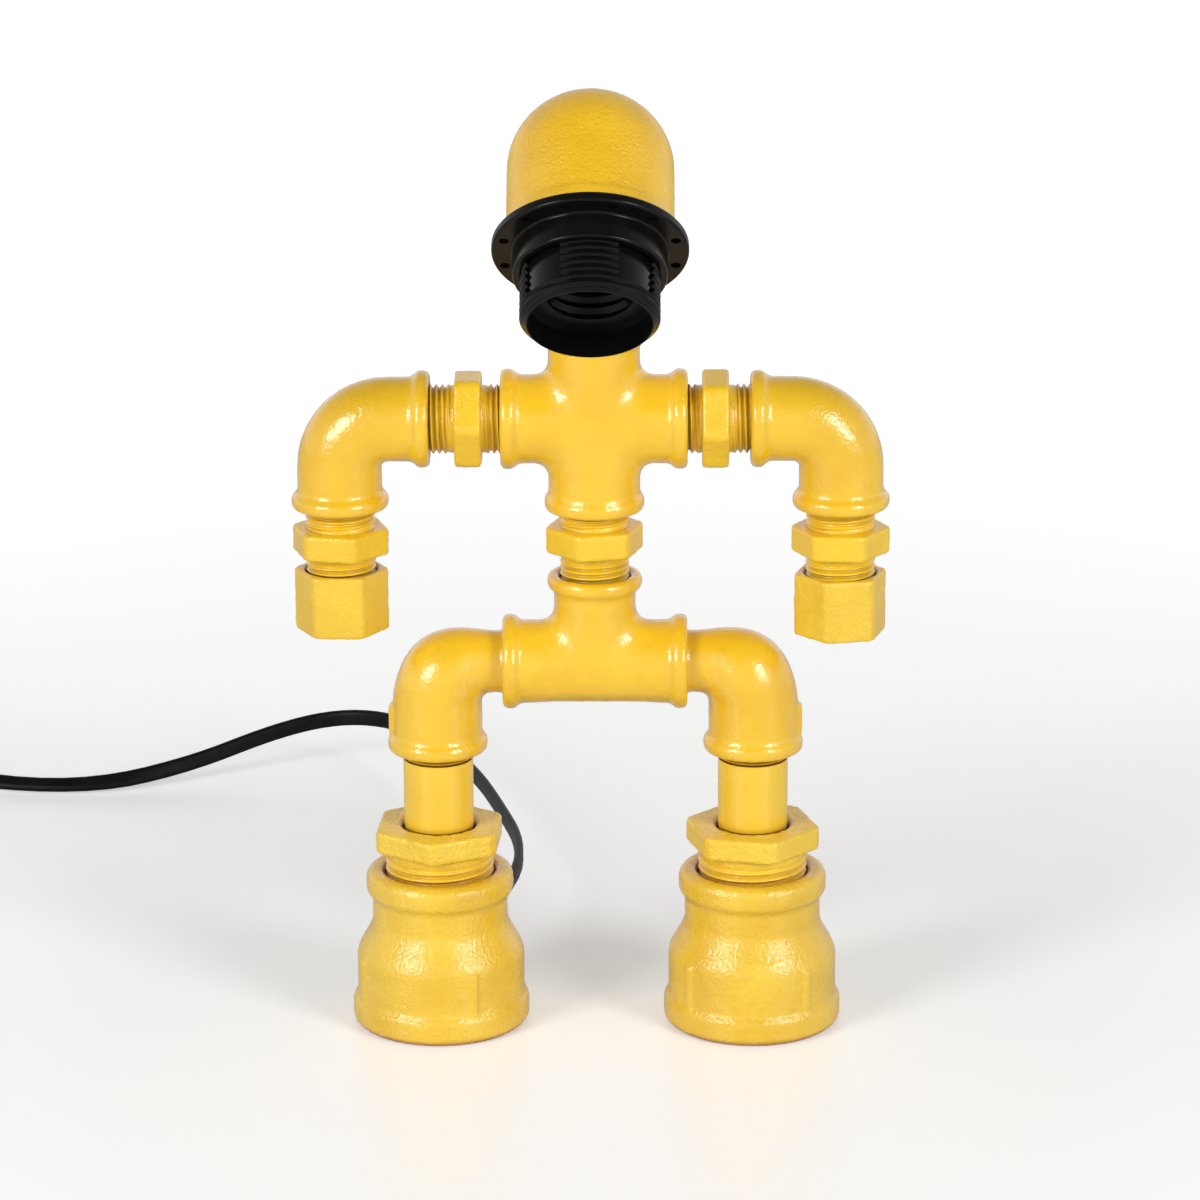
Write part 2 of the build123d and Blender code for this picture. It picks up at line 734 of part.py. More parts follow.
# Neck: street elbow screwed into the top of the cross, then a nipple to the head
neck_set_back = neck_bend * tan(radians(lean / 2))
neck_low = neck_corner - up * neck_set_back
neck_high = neck_corner + neck_axis * neck_set_back
neck_male = neck_male_leg - neck_set_back
neck_plain = neck_male - neck_engaged
with BuildPart() as neck_elbow:
    add(bent_rod(neck_low, neck_high, up, neck_tube))
    add(port_body(axis_plane(neck_corner, neck_axis), neck_set_back, neck_reach, neck_tube, neck_bead))
    add(lathe(axis_plane(neck_low, -up), [
        (0, 0, 0),
        (neck_tube / 2, 0, 0),
        (neck_male_tube / 2, neck_plain, 0),
        (0, neck_plain, 0),
    ]))
    add(lathe(axis_plane(neck_low, -up), male_end(
        0, neck_male, half_inch_thread, half_inch_pitch, half_inch_depth,
        neck_male_tube, neck_plain, nipple_tip_chamfer)))
    add(bent_rod(neck_low, neck_high, up, water_bore), mode=Mode.SUBTRACT)
    with BuildSketch(axis_plane(neck_low, -up)):
        Circle(water_bore / 2)
    extrude(amount=neck_male + cut_overrun, mode=Mode.SUBTRACT)
    add(port_bore(axis_plane(neck_high, neck_axis), neck_reach - neck_set_back), mode=Mode.SUBTRACT)
finish(neck_elbow.part, "neck_elbow")
neck_nipple_centre = neck_corner + neck_axis * (neck_reach + neck_show + half_hex_thickness)
hex_nipple("neck_nipple", axis_plane(neck_nipple_centre, neck_axis), neck_spin)

# Head: the wide port looks forward and down, and its far end is a round dome
head_depth = head_mouth_reach + head_neck_tube / 2 + dome_rise
cavity = head_tube - 2 * head_wall
into_head = axis_plane(face, -face_axis)
with BuildPart() as head_elbow:
    add(lathe(into_head, [
        (0, 0, 0),
        (head_bead / 2, 0, 0),
        (head_bead / 2, head_bead_width, head_bead_slope / 2),
        (head_tube / 2, head_bead_width + head_bead_slope, head_bead_slope / 2),
        (head_tube / 2, head_depth, head_tube / 2 - dome_flat),
        (0, head_depth, 0),
    ]))
    add(port_body(axis_plane(head_corner, -neck_axis), 0, head_neck_reach, head_neck_tube, head_neck_bead))
    bent_edges = head_elbow.edges().filter_by(GeomType.CIRCLE, reverse=True)
    crotches = bent_edges.filter_by(GeomType.LINE, reverse=True)
    fillet(crotches, head_crotch)
    add(lathe(into_head, [
        (0, -cut_overrun, 0),
        (barrel_bore / 2, -cut_overrun, 0),
        (barrel_bore / 2, head_port_depth, 0),
        (cavity / 2, head_port_depth, 0),
        (cavity / 2, head_depth - head_wall, cavity / 2 - dome_flat),
        (0, head_depth - head_wall, 0),
    ]), mode=Mode.SUBTRACT)
    add(port_bore(axis_plane(head_corner, -neck_axis), head_neck_reach), mode=Mode.SUBTRACT)
finish(head_elbow.part, "head_elbow")

# Lampholder barrel: outside thread broken by four smooth recessed panels, lamp thread inside
lamp_land = lamp_thread_pitch * crest_share * 2
lamp_bottom = lamp_thread_top - lamp_thread_turns * lamp_thread_pitch
well = [(lamp_thread_crest / 2, lamp_bottom - lamp_land, 0)]
for turn in range(lamp_thread_turns):
    low = lamp_bottom + turn * lamp_thread_pitch
    well.append((lamp_thread_crest / 2, low, 0))
    well.append((lamp_thread_root / 2, low + lamp_thread_pitch * flank_share, 0))
    well.append((lamp_thread_root / 2, low + lamp_thread_pitch * (flank_share + crest_share), 0))
    well.append((lamp_thread_crest / 2, low + lamp_thread_pitch - lamp_land, 0))
well_floor = -lamp_well_depth
barrel_turns = int((barrel_front + barrel_rear - 2 * barrel_rim_round) / barrel_pitch)
barrel_thread_start = barrel_front - barrel_rim_round - barrel_turns * barrel_pitch
wedge = barrel_diameter
with BuildPart() as lampholder_barrel:
    add(lathe(face_plane, [
        (0, -barrel_rear, 0),
        (barrel_diameter / 2 - barrel_depth, -barrel_rear, 0),
        *ridges(barrel_thread_start, barrel_front - barrel_rim_round,
                barrel_diameter, barrel_pitch, barrel_depth),
        (barrel_diameter / 2 - barrel_depth, barrel_front - barrel_rim_round, 0),
        (barrel_diameter / 2 - barrel_depth - barrel_rim_round, barrel_front, 0),
        (0, barrel_front, 0),
    ]))
    for turn in recess_turns:
        sides = [radians(turn - recess_angle / 2), radians(turn + recess_angle / 2)]
        with BuildSketch(face_plane.offset(ring_flange_thickness)):
            Circle(barrel_diameter / 2 + cut_overrun)
            Circle(recess_diameter / 2, mode=Mode.SUBTRACT)
            with BuildLine():
                Polyline((0, 0), *[(wedge * cos(angle), wedge * sin(angle)) for angle in sides], close=True)
            make_face(mode=Mode.INTERSECT)
        extrude(amount=recess_top - ring_flange_thickness, mode=Mode.SUBTRACT)
    add(lathe(face_plane, [
        (0, -barrel_rear - cut_overrun, 0),
        (holder_cap_diameter / 2 - holder_cap_wall, -barrel_rear - cut_overrun, 0),
        (holder_cap_diameter / 2 - holder_cap_wall, well_floor, 0),
        (lamp_well_bore / 2, well_floor, 0),
        (lamp_well_bore / 2, lamp_bottom - lamp_land - barrel_rim_round, 0),
        *well,
        (lamp_thread_crest / 2, lamp_thread_top, 0),
        (barrel_mouth_bore / 2, mouth_start, 0),
        (barrel_mouth_bore / 2, barrel_front + cut_overrun, 0),
        (0, barrel_front + cut_overrun, 0),
    ]), mode=Mode.SUBTRACT)
finish(lampholder_barrel.part, "lampholder_barrel")

# Shade ring: a flange with small holes and a collar, turned onto the barrel against the head
ring_plane = face_plane.offset(rest_gap)
ring_bore = barrel_bore / 2
ring_height = ring_flange_thickness + ring_collar_height
with BuildPart() as shade_ring:
    add(lathe(ring_plane, [
        (ring_bore, 0, 0),
        (ring_flange / 2, 0, ring_edge_round),
        (ring_flange / 2, ring_flange_thickness, ring_edge_round),
        (ring_collar / 2, ring_flange_thickness, ring_edge_round),
        (ring_collar / 2, ring_height, ring_edge_round),
        (ring_bore, ring_height, 0),
    ]))
    with BuildSketch(ring_plane.offset(-cut_overrun)):
        with PolarLocations(ring_hole_circle / 2, ring_hole_count, start_angle=ring_hole_turn):
            Circle(ring_hole / 2)
    extrude(amount=ring_flange_thickness + 2 * cut_overrun, mode=Mode.SUBTRACT)
finish(shade_ring.part, "shade_ring")

# Contact block, its centre contact, side contact and two terminal screws
block_radius = holder_cap_diameter / 2 - holder_cap_wall - block_clearance
block_face = face_plane.offset(well_floor - block_clearance)
block_back = block_face.offset(-block_thickness)
with BuildPart() as contact_block:
    with BuildSketch(block_back):
        Circle(block_radius)
    extrude(amount=block_thickness)
    with BuildSketch(block_back.offset(-cut_overrun)):
        with GridLocations(terminal_spacing, 0, 2, 1):
            Circle(terminal_screw_shank / 2 + thread_clearance)
    extrude(amount=terminal_screw_length + cut_overrun, mode=Mode.SUBTRACT)
finish(contact_block.part, "contact_block")
with BuildPart() as centre_contact:
    with BuildSketch(Plane(block_face.origin, x_dir=block_face.x_dir, z_dir=-block_face.y_dir)):
        with BuildLine():
            Polyline(
                (-contact_length / 2, 0), (-contact_length / 4, contact_rise),
                (contact_length / 4, contact_rise),
                (contact_length / 4, contact_rise - contact_thickness),
                (-contact_length / 4 + contact_thickness, contact_rise - contact_thickness),
                (-contact_length / 2 + 2 * contact_thickness, 0), close=True)
        make_face()
    extrude(amount=contact_width / 2, both=True)
finish(centre_contact.part, "centre_contact")
side_place = lamp_well_bore / 2 * side_contact_place_share
with BuildPart() as side_contact:
    with BuildSketch(block_face):
        with Locations((0, side_place)):
            Rectangle(contact_width, contact_thickness)
    extrude(amount=lamp_well_depth)
finish(side_contact.part, "side_contact")
with BuildPart() as terminal_screws:
    with BuildSketch(block_back.offset(-terminal_screw_head_height)):
        with GridLocations(terminal_spacing, 0, 2, 1):
            Circle(terminal_screw_head / 2)
    extrude(amount=terminal_screw_head_height)
    with BuildSketch(block_back):
        with GridLocations(terminal_spacing, 0, 2, 1):
            Circle(terminal_screw_shank / 2)
    extrude(amount=terminal_screw_length)
    with BuildSketch(block_back.offset(-terminal_screw_head_height)):
        with GridLocations(terminal_spacing, 0, 2, 1):
            Rectangle(terminal_screw_head, terminal_slot)
    extrude(amount=terminal_screw_head_height / 2, mode=Mode.SUBTRACT)
finish(terminal_screws.part, "terminal_screws")

# Rear cap of the lampholder, a cup over the terminals with a hole for the cord
cap_seat = face_plane.offset(-barrel_rear)
with BuildPart() as lampholder_cap:
    add(lathe(Plane(cap_seat.origin, x_dir=cap_seat.x_dir, z_dir=-cap_seat.z_dir), [
        (holder_cap_diameter / 2 - holder_cap_wall, 0, 0),
        (holder_cap_diameter / 2, 0, 0),
        (holder_cap_diameter / 2, holder_cap_length, holder_cap_round),
        (inner_cord / 2 + thread_clearance, holder_cap_length, 0),
        (inner_cord / 2 + thread_clearance, holder_cap_length - holder_cap_wall, 0),
        (holder_cap_diameter / 2 - holder_cap_wall, holder_cap_length - holder_cap_wall,
         holder_cap_round - holder_cap_wall),
    ]))
finish(lampholder_cap.part, "lampholder_cap")

# Cord inside the pipes, one length for each turning body
hip_split = hips - Vector(1, 0, 0) * (tee_reach - hip_engaged)
waist_split = waist_centre + up * nipple_length / 2
neck_split = neck_corner - up * neck_male_leg
head_split = neck_nipple_centre + neck_axis * nipple_length / 2
cap_end = face + face_axis * -(barrel_rear + holder_cap_length - holder_cap_wall)
left_corner = hips - Vector(1, 0, 0) * leg_offset
cord_start = exit_start + exit_way * foot_body / 2
cord_runs = {
    "inner_cord_leg": ([cord_start, exit_start, left_corner, hip_split], [inner_bend, inner_bend]),
    "inner_cord_hips": ([hip_split, hips, waist_split], [inner_bend]),
    "inner_cord_chest": ([waist_split, neck_split], None),
    "inner_cord_neck": ([neck_split, neck_corner, head_split], [neck_bend]),
    "inner_cord_head": ([head_split, head_corner, cap_end], [inner_bend / 2]),
}
for name, (points, radii) in cord_runs.items():
    if radii:
        finish(routed_rod(points, radii, inner_cord), name)
    else:
        with BuildPart() as straight_run:
            with BuildSketch(axis_plane(points[0], points[1] - points[0])):
                Circle(inner_cord / 2)
            extrude(amount=(points[1] - points[0]).length)
        finish(straight_run.part, name)

# Two leads from the cord's end inside the cap to the sides of the terminal screws
lead_side = terminal_screw_head / 2 + lead_diameter / 2 + thread_clearance
lead_low = -(barrel_rear + holder_cap_length - holder_cap_wall)
lead_high = -lamp_well_depth - block_clearance - block_thickness
lead_middle = (lead_low + lead_high) / 2
lead_core = lead_diameter / 2 + thread_clearance
with BuildPart() as terminal_leads:
    for side in (-1, 1):
        lead_points = [
            (side * lead_core, 0, lead_low),
            (side * lead_core, 0, lead_middle),
            (side * terminal_spacing / 2, lead_side, lead_middle),
            (side * terminal_spacing / 2, lead_side, lead_high),
        ]
        lead_route = [face_plane.from_local_coords(Vector(*point)) for point in lead_points]
        add(routed_rod(lead_route, [lead_bend, lead_bend], lead_diameter))
finish(terminal_leads.part, "terminal_leads")

# Strain relief: a grooved taper seated in the foot, with the flat cord through it
relief_end = foot_body / 2 + relief_length
taper_start = foot_body / 2 + relief_flange_length
taper_run = relief_end - taper_start
relief_outline = [
    (0, relief_start, 0),
    (relief_seat / 2, relief_start, 0),
    (relief_seat / 2, foot_body / 2, 0),
    (relief_flange / 2, foot_body / 2, 0),
    (relief_flange / 2, taper_start, 0),
]
for groove in range(relief_groove_count):
    groove_start = taper_start + taper_run * (groove + 1) / (relief_groove_count + 1)
    thinned = (relief_flange - relief_tip) / 2 * (groove + 1) / (relief_groove_count + 1)
    wall = relief_flange / 2 - thinned
    relief_outline.append((wall, groove_start, 0))
    relief_outline.append((wall - relief_groove_depth, groove_start, 0))
    relief_outline.append((wall - relief_groove_depth, groove_start + relief_groove_width, 0))
    relief_outline.append((wall, groove_start + relief_groove_width, 0))
relief_outline.append((relief_tip / 2, relief_end, 0))
relief_outline.append((0, relief_end, 0))
with BuildPart() as strain_relief:
    add(lathe(exit_plane, relief_outline))
    with BuildSketch(exit_plane.offset(relief_start - cut_overrun)):
        Circle(inner_cord / 2)
    extrude(amount=foot_body / 2 - relief_start + cut_overrun, mode=Mode.SUBTRACT)
    with BuildSketch(exit_plane.offset(foot_body / 2)):
        SlotOverall(cord_width, cord_thickness)
    extrude(amount=relief_length + cut_overrun, mode=Mode.SUBTRACT)
finish(strain_relief.part, "strain_relief")

# The coil lies on its tie, and the switch stands so that the cord leaves it level with the upper layer
coil_low = cord_width / 2 + tie_wall + tie_gap
coil_high = coil_low + coil_layer
switch_height = 2 * coil_high
heading = Vector(cos(radians(switch_heading)), sin(radians(switch_heading)), 0)
leftward = up.cross(heading)
switch_lead = Vector(*cord_last_point, coil_high)
switch_end = switch_lead + heading * cord_last_run

# Free cord: straight runs joined by arcs, each as wide as its shorter run allows
route = [cord_start, cord_start + exit_way * cord_first_run]
route += [Vector(*point) for point in cord_points]
route += [switch_lead, switch_end + heading * cord_into_switch]
bend_radii = []
for before, corner, after in zip(route, route[1:], route[2:]):
    run_in = corner - before
    run_out = after - corner
    half_turn = radians(run_in.get_angle(run_out) / 2)
    bend_radii.append(cord_bend_share * min(run_in.length, run_out.length) / tan(half_turn))
with BuildPart() as free_cord:
    with BuildLine() as free_path:
        FilletPolyline(route, radius=bend_radii)
    with BuildSketch(exit_plane.offset(foot_body / 2)) as cord_section:
        SlotOverall(cord_width, cord_thickness)
    sweep(path=free_path.wire(), binormal=free_path.wire().moved(Location(up * cord_width)))
cord_area = cord_section.sketch.area
free_length = sum(edge.length for edge in free_path.edges())
print("bend radii", [round(radius, 1) for radius in bend_radii])
print("free cord", round(free_length, 1), "volume", round(free_cord.part.volume, 1),
      "section by length", round(cord_area * free_length, 1))
finish(free_cord.part, "free_cord")

# Coil: out of the switch, in along the upper layer, down, out along the lower layer, to the plug
switch_far = switch_end + heading * switch_length
coil_start = switch_far - heading * cord_into_switch
coil_arcs = []
place = switch_far + heading * coil_tail
way = heading
across = leftward
for turn in range(coil_half_turns):
    coil_arcs.append((place, way, across, coil_radius - turn * coil_step / 2))
    place = place + across * 2 * coil_arcs[-1][3]
    way = -way
    across = -across
inner_radius = coil_radius - coil_half_turns * coil_step / 2
drop_top = place
drop_way = way
drop_crown = sqrt(inner_radius ** 2 + (coil_layer / 2) ** 2)
drop_middle = place + across * inner_radius + way * drop_crown - up * coil_layer / 2
place = place + across * 2 * inner_radius - up * coil_layer
way = -way
across = -across
for turn in reversed(range(coil_half_turns)):
    coil_arcs.append((place, way, across, coil_radius - turn * coil_step / 2))
    place = place + across * 2 * coil_arcs[-1][3]
    way = -way
    across = -across
coil_end = place
plug_way = way
plug_level = up * (plug_height / 2 - coil_low)
tail_first = coil_end + plug_way * (plug_tail - plug_rise - plug_level_run)
tail_second = tail_first + plug_way * plug_rise + plug_level
plug_start = coil_end + plug_way * plug_tail + plug_level
tail_turn = Vector(plug_way).get_angle(tail_second - tail_first)
tail_radius = cord_bend_share * plug_level_run / tan(radians(tail_turn / 2))
with BuildPart() as cord_coil:
    with BuildLine() as coil_path:
        Line(coil_start, coil_arcs[0][0])
        for start, direction, side, radius in coil_arcs[:coil_half_turns]:
            TangentArc(start, start + side * 2 * radius, tangent=direction)
        first_drop = TangentArc(drop_top, drop_middle, tangent=drop_way)
        TangentArc(drop_middle, coil_arcs[coil_half_turns][0], tangent=first_drop % 1)
        for start, direction, side, radius in coil_arcs[coil_half_turns:]:
            TangentArc(start, start + side * 2 * radius, tangent=direction)
        FilletPolyline(coil_end, tail_first, tail_second, plug_start + plug_way * plug_entry,
                       radius=tail_radius)
    with BuildSketch(Plane(coil_start, x_dir=up, z_dir=heading)):
        SlotOverall(cord_width, cord_thickness)
    sweep(path=coil_path.wire(), binormal=coil_path.wire().moved(Location(up * cord_width)))
coil_length = sum(edge.length for edge in coil_path.edges())
print("coil", round(coil_length, 1), "volume", round(cord_coil.part.volume, 1),
      "section by length", round(cord_area * coil_length, 1), "tail bend", round(tail_radius, 1))
samples = []
for edge in coil_path.edges():
    steps = max(2, int(edge.length / coil_step))
    samples += [edge @ (step / steps) for step in range(steps)]
neighbour = int(pi * inner_radius / coil_step)
gaps = []
for index, point in enumerate(samples):
    for other in samples[index + neighbour:]:
        apart = point - other
        level_gap = sqrt(apart.X ** 2 + apart.Y ** 2) - cord_thickness
        gaps.append(max(level_gap, abs(apart.Z) - cord_width))
print("least gap between turns", round(min(gaps), 2))
finish(cord_coil.part, "cord_coil")

# Tie: a flat band round all the turns on the side toward the view
tie_centre = switch_far + heading * coil_tail + leftward * coil_radius
bundle_outer = coil_radius - coil_step / 2 + cord_thickness / 2 + tie_gap
bundle_inner = inner_radius + coil_step / 2 - cord_thickness / 2 - tie_slack
bundle_middle = tie_centre - heading * (bundle_outer + bundle_inner) / 2
bundle_span = bundle_outer - bundle_inner
bundle_height = coil_layer + cord_width + 2 * tie_gap
tie_origin = Vector(bundle_middle.X, bundle_middle.Y, tie_wall + bundle_height / 2)
with BuildPart() as coil_tie:
    with BuildSketch(Plane(tie_origin, x_dir=heading, z_dir=leftward)):
        RectangleRounded(bundle_span + 2 * tie_wall, bundle_height + 2 * tie_wall, 2 * tie_wall)
        RectangleRounded(bundle_span, bundle_height, tie_wall, mode=Mode.SUBTRACT)
    extrude(amount=tie_width / 2, both=True)
finish(coil_tie.part, "coil_tie")

# Plug: a soft grip that widens to the face, with two round pins
plug_plane = Plane(plug_start, x_dir=plug_way, z_dir=up)
plug_half = plug_width / 2
plug_outline = [
    (0, plug_cord_width / 2),
    (plug_length * plug_grip_share, plug_grip_width / 2),
    (plug_length * plug_shoulder_share, plug_half),
    (plug_length, plug_half),
]
with BuildPart() as plug_body:
    with BuildSketch(plug_plane) as plug_sketch:
        with BuildLine():
            Polyline(plug_outline + [(x, -y) for x, y in reversed(plug_outline)], close=True)
        make_face()
        fillet(plug_sketch.vertices(), plug_edge)
    extrude(amount=plug_height / 2, both=True)
    fillet(plug_body.faces().filter_by(Axis.Z).edges(), plug_edge)
    with BuildSketch(Plane(plug_start, x_dir=up, z_dir=plug_way).offset(-cut_overrun)):
        SlotOverall(cord_width, cord_thickness)
    extrude(amount=plug_entry + cut_overrun, mode=Mode.SUBTRACT)
    with BuildSketch(Plane(plug_start, x_dir=leftward, z_dir=plug_way).offset(plug_length - pin_seat)):
        with GridLocations(pin_spacing, 0, 2, 1):
            Circle(pin_diameter / 2)
    extrude(amount=pin_seat + cut_overrun, mode=Mode.SUBTRACT)
finish(plug_body.part, "plug_body")
with BuildPart() as plug_pins:
    with BuildSketch(Plane(plug_start, x_dir=leftward, z_dir=plug_way).offset(plug_length - pin_seat)):
        with GridLocations(pin_spacing, 0, 2, 1):
            Circle(pin_diameter / 2)
    extrude(amount=pin_seat + pin_length)
    tips = plug_pins.faces().filter_by(Axis(plug_start, plug_way)).sort_by(Axis(plug_start, plug_way))[-2:]
    fillet(tips.edges(), pin_tip)
finish(plug_pins.part, "plug_pins")

# In-line switch: half shells meeting at the height of the cord
switch_centre = switch_end + heading * switch_length / 2
switch_floor = Plane((switch_centre.X, switch_centre.Y, 0), x_dir=heading, z_dir=up)
switch_mid = switch_floor.offset(switch_height / 2)
cavity_length = switch_length - 2 * switch_wall
cavity_width = switch_width - 2 * switch_wall
cavity_corner = switch_corner - switch_wall
passage = Plane(switch_mid.origin, x_dir=up, z_dir=heading)


def shell_half(start, amount, rim):
    """One half of the switch case, hollow, with its outer rim rounded and the cord passage cut."""
    roof = amount - switch_wall if amount > 0 else amount + switch_wall
    with BuildPart() as half:
        with BuildSketch(start):
            RectangleRounded(switch_length, switch_width, switch_corner)
        extrude(amount=amount)
        fillet(half.faces().sort_by(Axis.Z)[rim].edges(), switch_edge)
        with BuildSketch(start):
            RectangleRounded(cavity_length, cavity_width, cavity_corner)
        extrude(amount=roof, mode=Mode.SUBTRACT)
        with BuildSketch(start):
            with GridLocations(switch_screw_spacing, 0, 2, 1):
                Circle(switch_post / 2)
        extrude(amount=roof)
        with BuildSketch(passage.offset(-switch_length)):
            SlotOverall(cord_width + 2 * switch_passage, cord_thickness + 2 * switch_passage)
        extrude(amount=2 * switch_length, mode=Mode.SUBTRACT)
    return half.part


half_height = switch_height / 2
bottom_shell = shell_half(switch_mid, -half_height, 0)
top_shell = shell_half(switch_mid, half_height, -1)
with BuildPart() as switch_base:
    add(bottom_shell)
    with BuildSketch(switch_floor.offset(-cut_overrun)):
        with GridLocations(switch_screw_spacing, 0, 2, 1):
            Circle(switch_screw_shank / 2)
    extrude(amount=half_height + 2 * cut_overrun, mode=Mode.SUBTRACT)
    with BuildSketch(switch_floor.offset(-cut_overrun)):
        with GridLocations(switch_screw_spacing, 0, 2, 1):
            Circle(switch_screw_head / 2)
    extrude(amount=switch_screw_head_height + 2 * cut_overrun, mode=Mode.SUBTRACT)
finish(switch_base.part, "switch_base")

# Cover with the rocker's window and two cheeks that hold its pins
axis_height = switch_height - rocker_axis_drop
window_length = rocker_length + 2 * rocker_clearance
window_width = rocker_width + 2 * rocker_clearance
pin_plane = Plane(switch_floor.offset(axis_height).origin, x_dir=heading, z_dir=leftward)
with BuildPart() as switch_cover:
    add(top_shell)
    with BuildSketch(switch_floor.offset(switch_height - switch_wall)):
        with GridLocations(0, window_width + cheek_thickness, 1, 2):
            Rectangle(window_length, cheek_thickness)
    extrude(amount=-cheek_drop)
    with BuildSketch(switch_floor.offset(switch_height - switch_wall - cut_overrun)):
        Rectangle(window_length, window_width)
    extrude(amount=switch_wall + 2 * cut_overrun, mode=Mode.SUBTRACT)
    with BuildSketch(pin_plane):
        Circle(rocker_pin / 2 + thread_clearance)
    extrude(amount=window_width / 2 + rocker_pin_length, both=True, mode=Mode.SUBTRACT)
    with BuildSketch(switch_mid.offset(-cut_overrun)):
        with GridLocations(switch_screw_spacing, 0, 2, 1):
            Circle(switch_screw_shank / 2)
    extrude(amount=switch_screw_length + switch_screw_head_height + cut_overrun * 2 - half_height,
            mode=Mode.SUBTRACT)
finish(switch_cover.part, "switch_cover")

# Rocker with a dished top, turning on its two pins
rocker_side = Plane(pin_plane.origin, x_dir=heading, z_dir=leftward)
rocker_top = rocker_proud + rocker_axis_drop
with BuildPart() as switch_rocker:
    with BuildSketch(rocker_side):
        with BuildLine():
            RadiusArc((-rocker_length / 2, -rocker_top), (rocker_length / 2, -rocker_top), rocker_dip)
            Polyline((rocker_length / 2, -rocker_top), (rocker_length / 2, rocker_below),
                     (-rocker_length / 2, rocker_below), (-rocker_length / 2, -rocker_top))
        make_face()
    extrude(amount=rocker_width / 2, both=True)
    with BuildSketch(pin_plane):
        Circle(rocker_pin / 2)
    extrude(amount=rocker_width / 2 + rocker_pin_length, both=True)
finish(switch_rocker.part.rotate(Axis(pin_plane.origin, leftward), rocker_tip), "switch_rocker")

# Contact strips on the case floor and the two screws that close the case
with BuildPart() as switch_strips:
    with BuildSketch(switch_floor.offset(switch_wall)):
        with GridLocations(0, strip_spacing, 1, 2):
            Rectangle(strip_length, strip_width)
    extrude(amount=strip_thickness)
finish(switch_strips.part, "switch_strips")
head_seat = switch_floor.offset(switch_screw_head_height + cut_overrun)
with BuildPart() as switch_screws:
    with BuildSketch(head_seat):
        with GridLocations(switch_screw_spacing, 0, 2, 1):
            Circle(switch_screw_shank / 2)
    extrude(amount=switch_screw_length)
    with BuildSketch(head_seat):
        with GridLocations(switch_screw_spacing, 0, 2, 1):
            Circle(switch_screw_head / 2)
    extrude(amount=-switch_screw_head_height)
    with BuildSketch(head_seat.offset(-switch_screw_head_height)):
        with GridLocations(switch_screw_spacing, 0, 2, 1):
            Rectangle(switch_screw_head, terminal_slot)
    extrude(amount=switch_screw_head_height / 2, mode=Mode.SUBTRACT)
finish(switch_screws.part, "switch_screws")
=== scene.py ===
import math

import bpy
from mathutils import Matrix, Vector, noise


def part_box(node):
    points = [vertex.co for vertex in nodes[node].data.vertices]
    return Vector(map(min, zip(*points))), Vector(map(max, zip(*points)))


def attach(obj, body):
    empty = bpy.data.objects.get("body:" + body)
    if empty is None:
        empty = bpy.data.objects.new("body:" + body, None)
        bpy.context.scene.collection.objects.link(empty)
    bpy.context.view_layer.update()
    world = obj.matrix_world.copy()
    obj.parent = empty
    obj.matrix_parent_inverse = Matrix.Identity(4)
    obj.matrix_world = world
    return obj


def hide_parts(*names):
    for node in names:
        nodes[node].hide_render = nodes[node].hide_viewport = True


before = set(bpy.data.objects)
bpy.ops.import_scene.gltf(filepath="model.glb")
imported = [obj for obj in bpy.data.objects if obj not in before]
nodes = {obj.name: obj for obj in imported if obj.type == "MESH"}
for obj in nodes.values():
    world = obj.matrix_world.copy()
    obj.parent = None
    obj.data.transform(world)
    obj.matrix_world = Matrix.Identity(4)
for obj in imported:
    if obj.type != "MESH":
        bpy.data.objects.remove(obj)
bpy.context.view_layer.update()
scene = bpy.context.scene
scene.view_settings.view_transform = "Standard"

# Camera: a long lens almost straight in front of the lamp and above its head, tipped down so that
# the tops of the ankle nuts show.
camera_place = (0.01683, -1.39366, 0.57256)
camera_swing = math.radians(0.5678)
camera_tip = math.radians(90.0 - 16.983)
camera_roll = math.radians(-0.2424)
camera_lens = bpy.data.cameras.new("front_camera")
camera_lens.sensor_width = 36.0
camera_lens.lens = 148.855
camera = bpy.data.objects.new("front_camera", camera_lens)
camera.matrix_world = (
    Matrix.Translation(camera_place)
    @ Matrix.Rotation(camera_swing, 4, "Z")
    @ Matrix.Rotation(camera_tip, 4, "X")
    @ Matrix.Rotation(camera_roll, 4, "Z")
)
scene.collection.objects.link(camera)
scene.camera = camera

# Mains cord: flat two-core cord in a satin black sheath, stiff enough to arch behind the lamp.
# It comes out of the left foot's strain relief, passes the in-line switch, and the length that
# isn't used is wound on edge into a tied coil that ends in the plug.
mm = 0.001
upward = Vector((0, 0, 1))
cord_width = 5.6 * mm
cord_thickness = 3.3 * mm
cord_exit = Vector((-38.284, 63.962, 22.0)) * mm
switch_entry = Vector((-263.89, 267.39, 10.1)) * mm
switch_turn = math.radians(163.0)
switch_way = Vector((math.cos(switch_turn), math.sin(switch_turn), 0.0))
switch_to_coil = 93.0 * mm
coil_radius = 38.0 * mm
coil_step = 3.9 * mm
coil_layer = 6.2 * mm
coil_corner_share = 1.034
turn_points = 12
upper_turns = 3.0
crossing_end = 3.5
last_turn = 6.5
coil_to_plug = 40.0 * mm
plug_drop = 3.3 * mm
coil_side = Vector((-switch_way.y, switch_way.x, 0.0))
coil_start = switch_entry + switch_way * switch_to_coil
coil_centre = coil_start + coil_side * coil_radius
plug_entry = coil_start + coil_side * 2.0 * coil_radius - switch_way * coil_to_plug


def clamped(share):
    """A share kept between 0 and 1."""
    return min(max(share, 0.0), 1.0)


def ease(share):
    """A share between 0 and 1 that sets off and ends level."""
    share = clamped(share)
    return share * share * (3.0 - 2.0 * share)


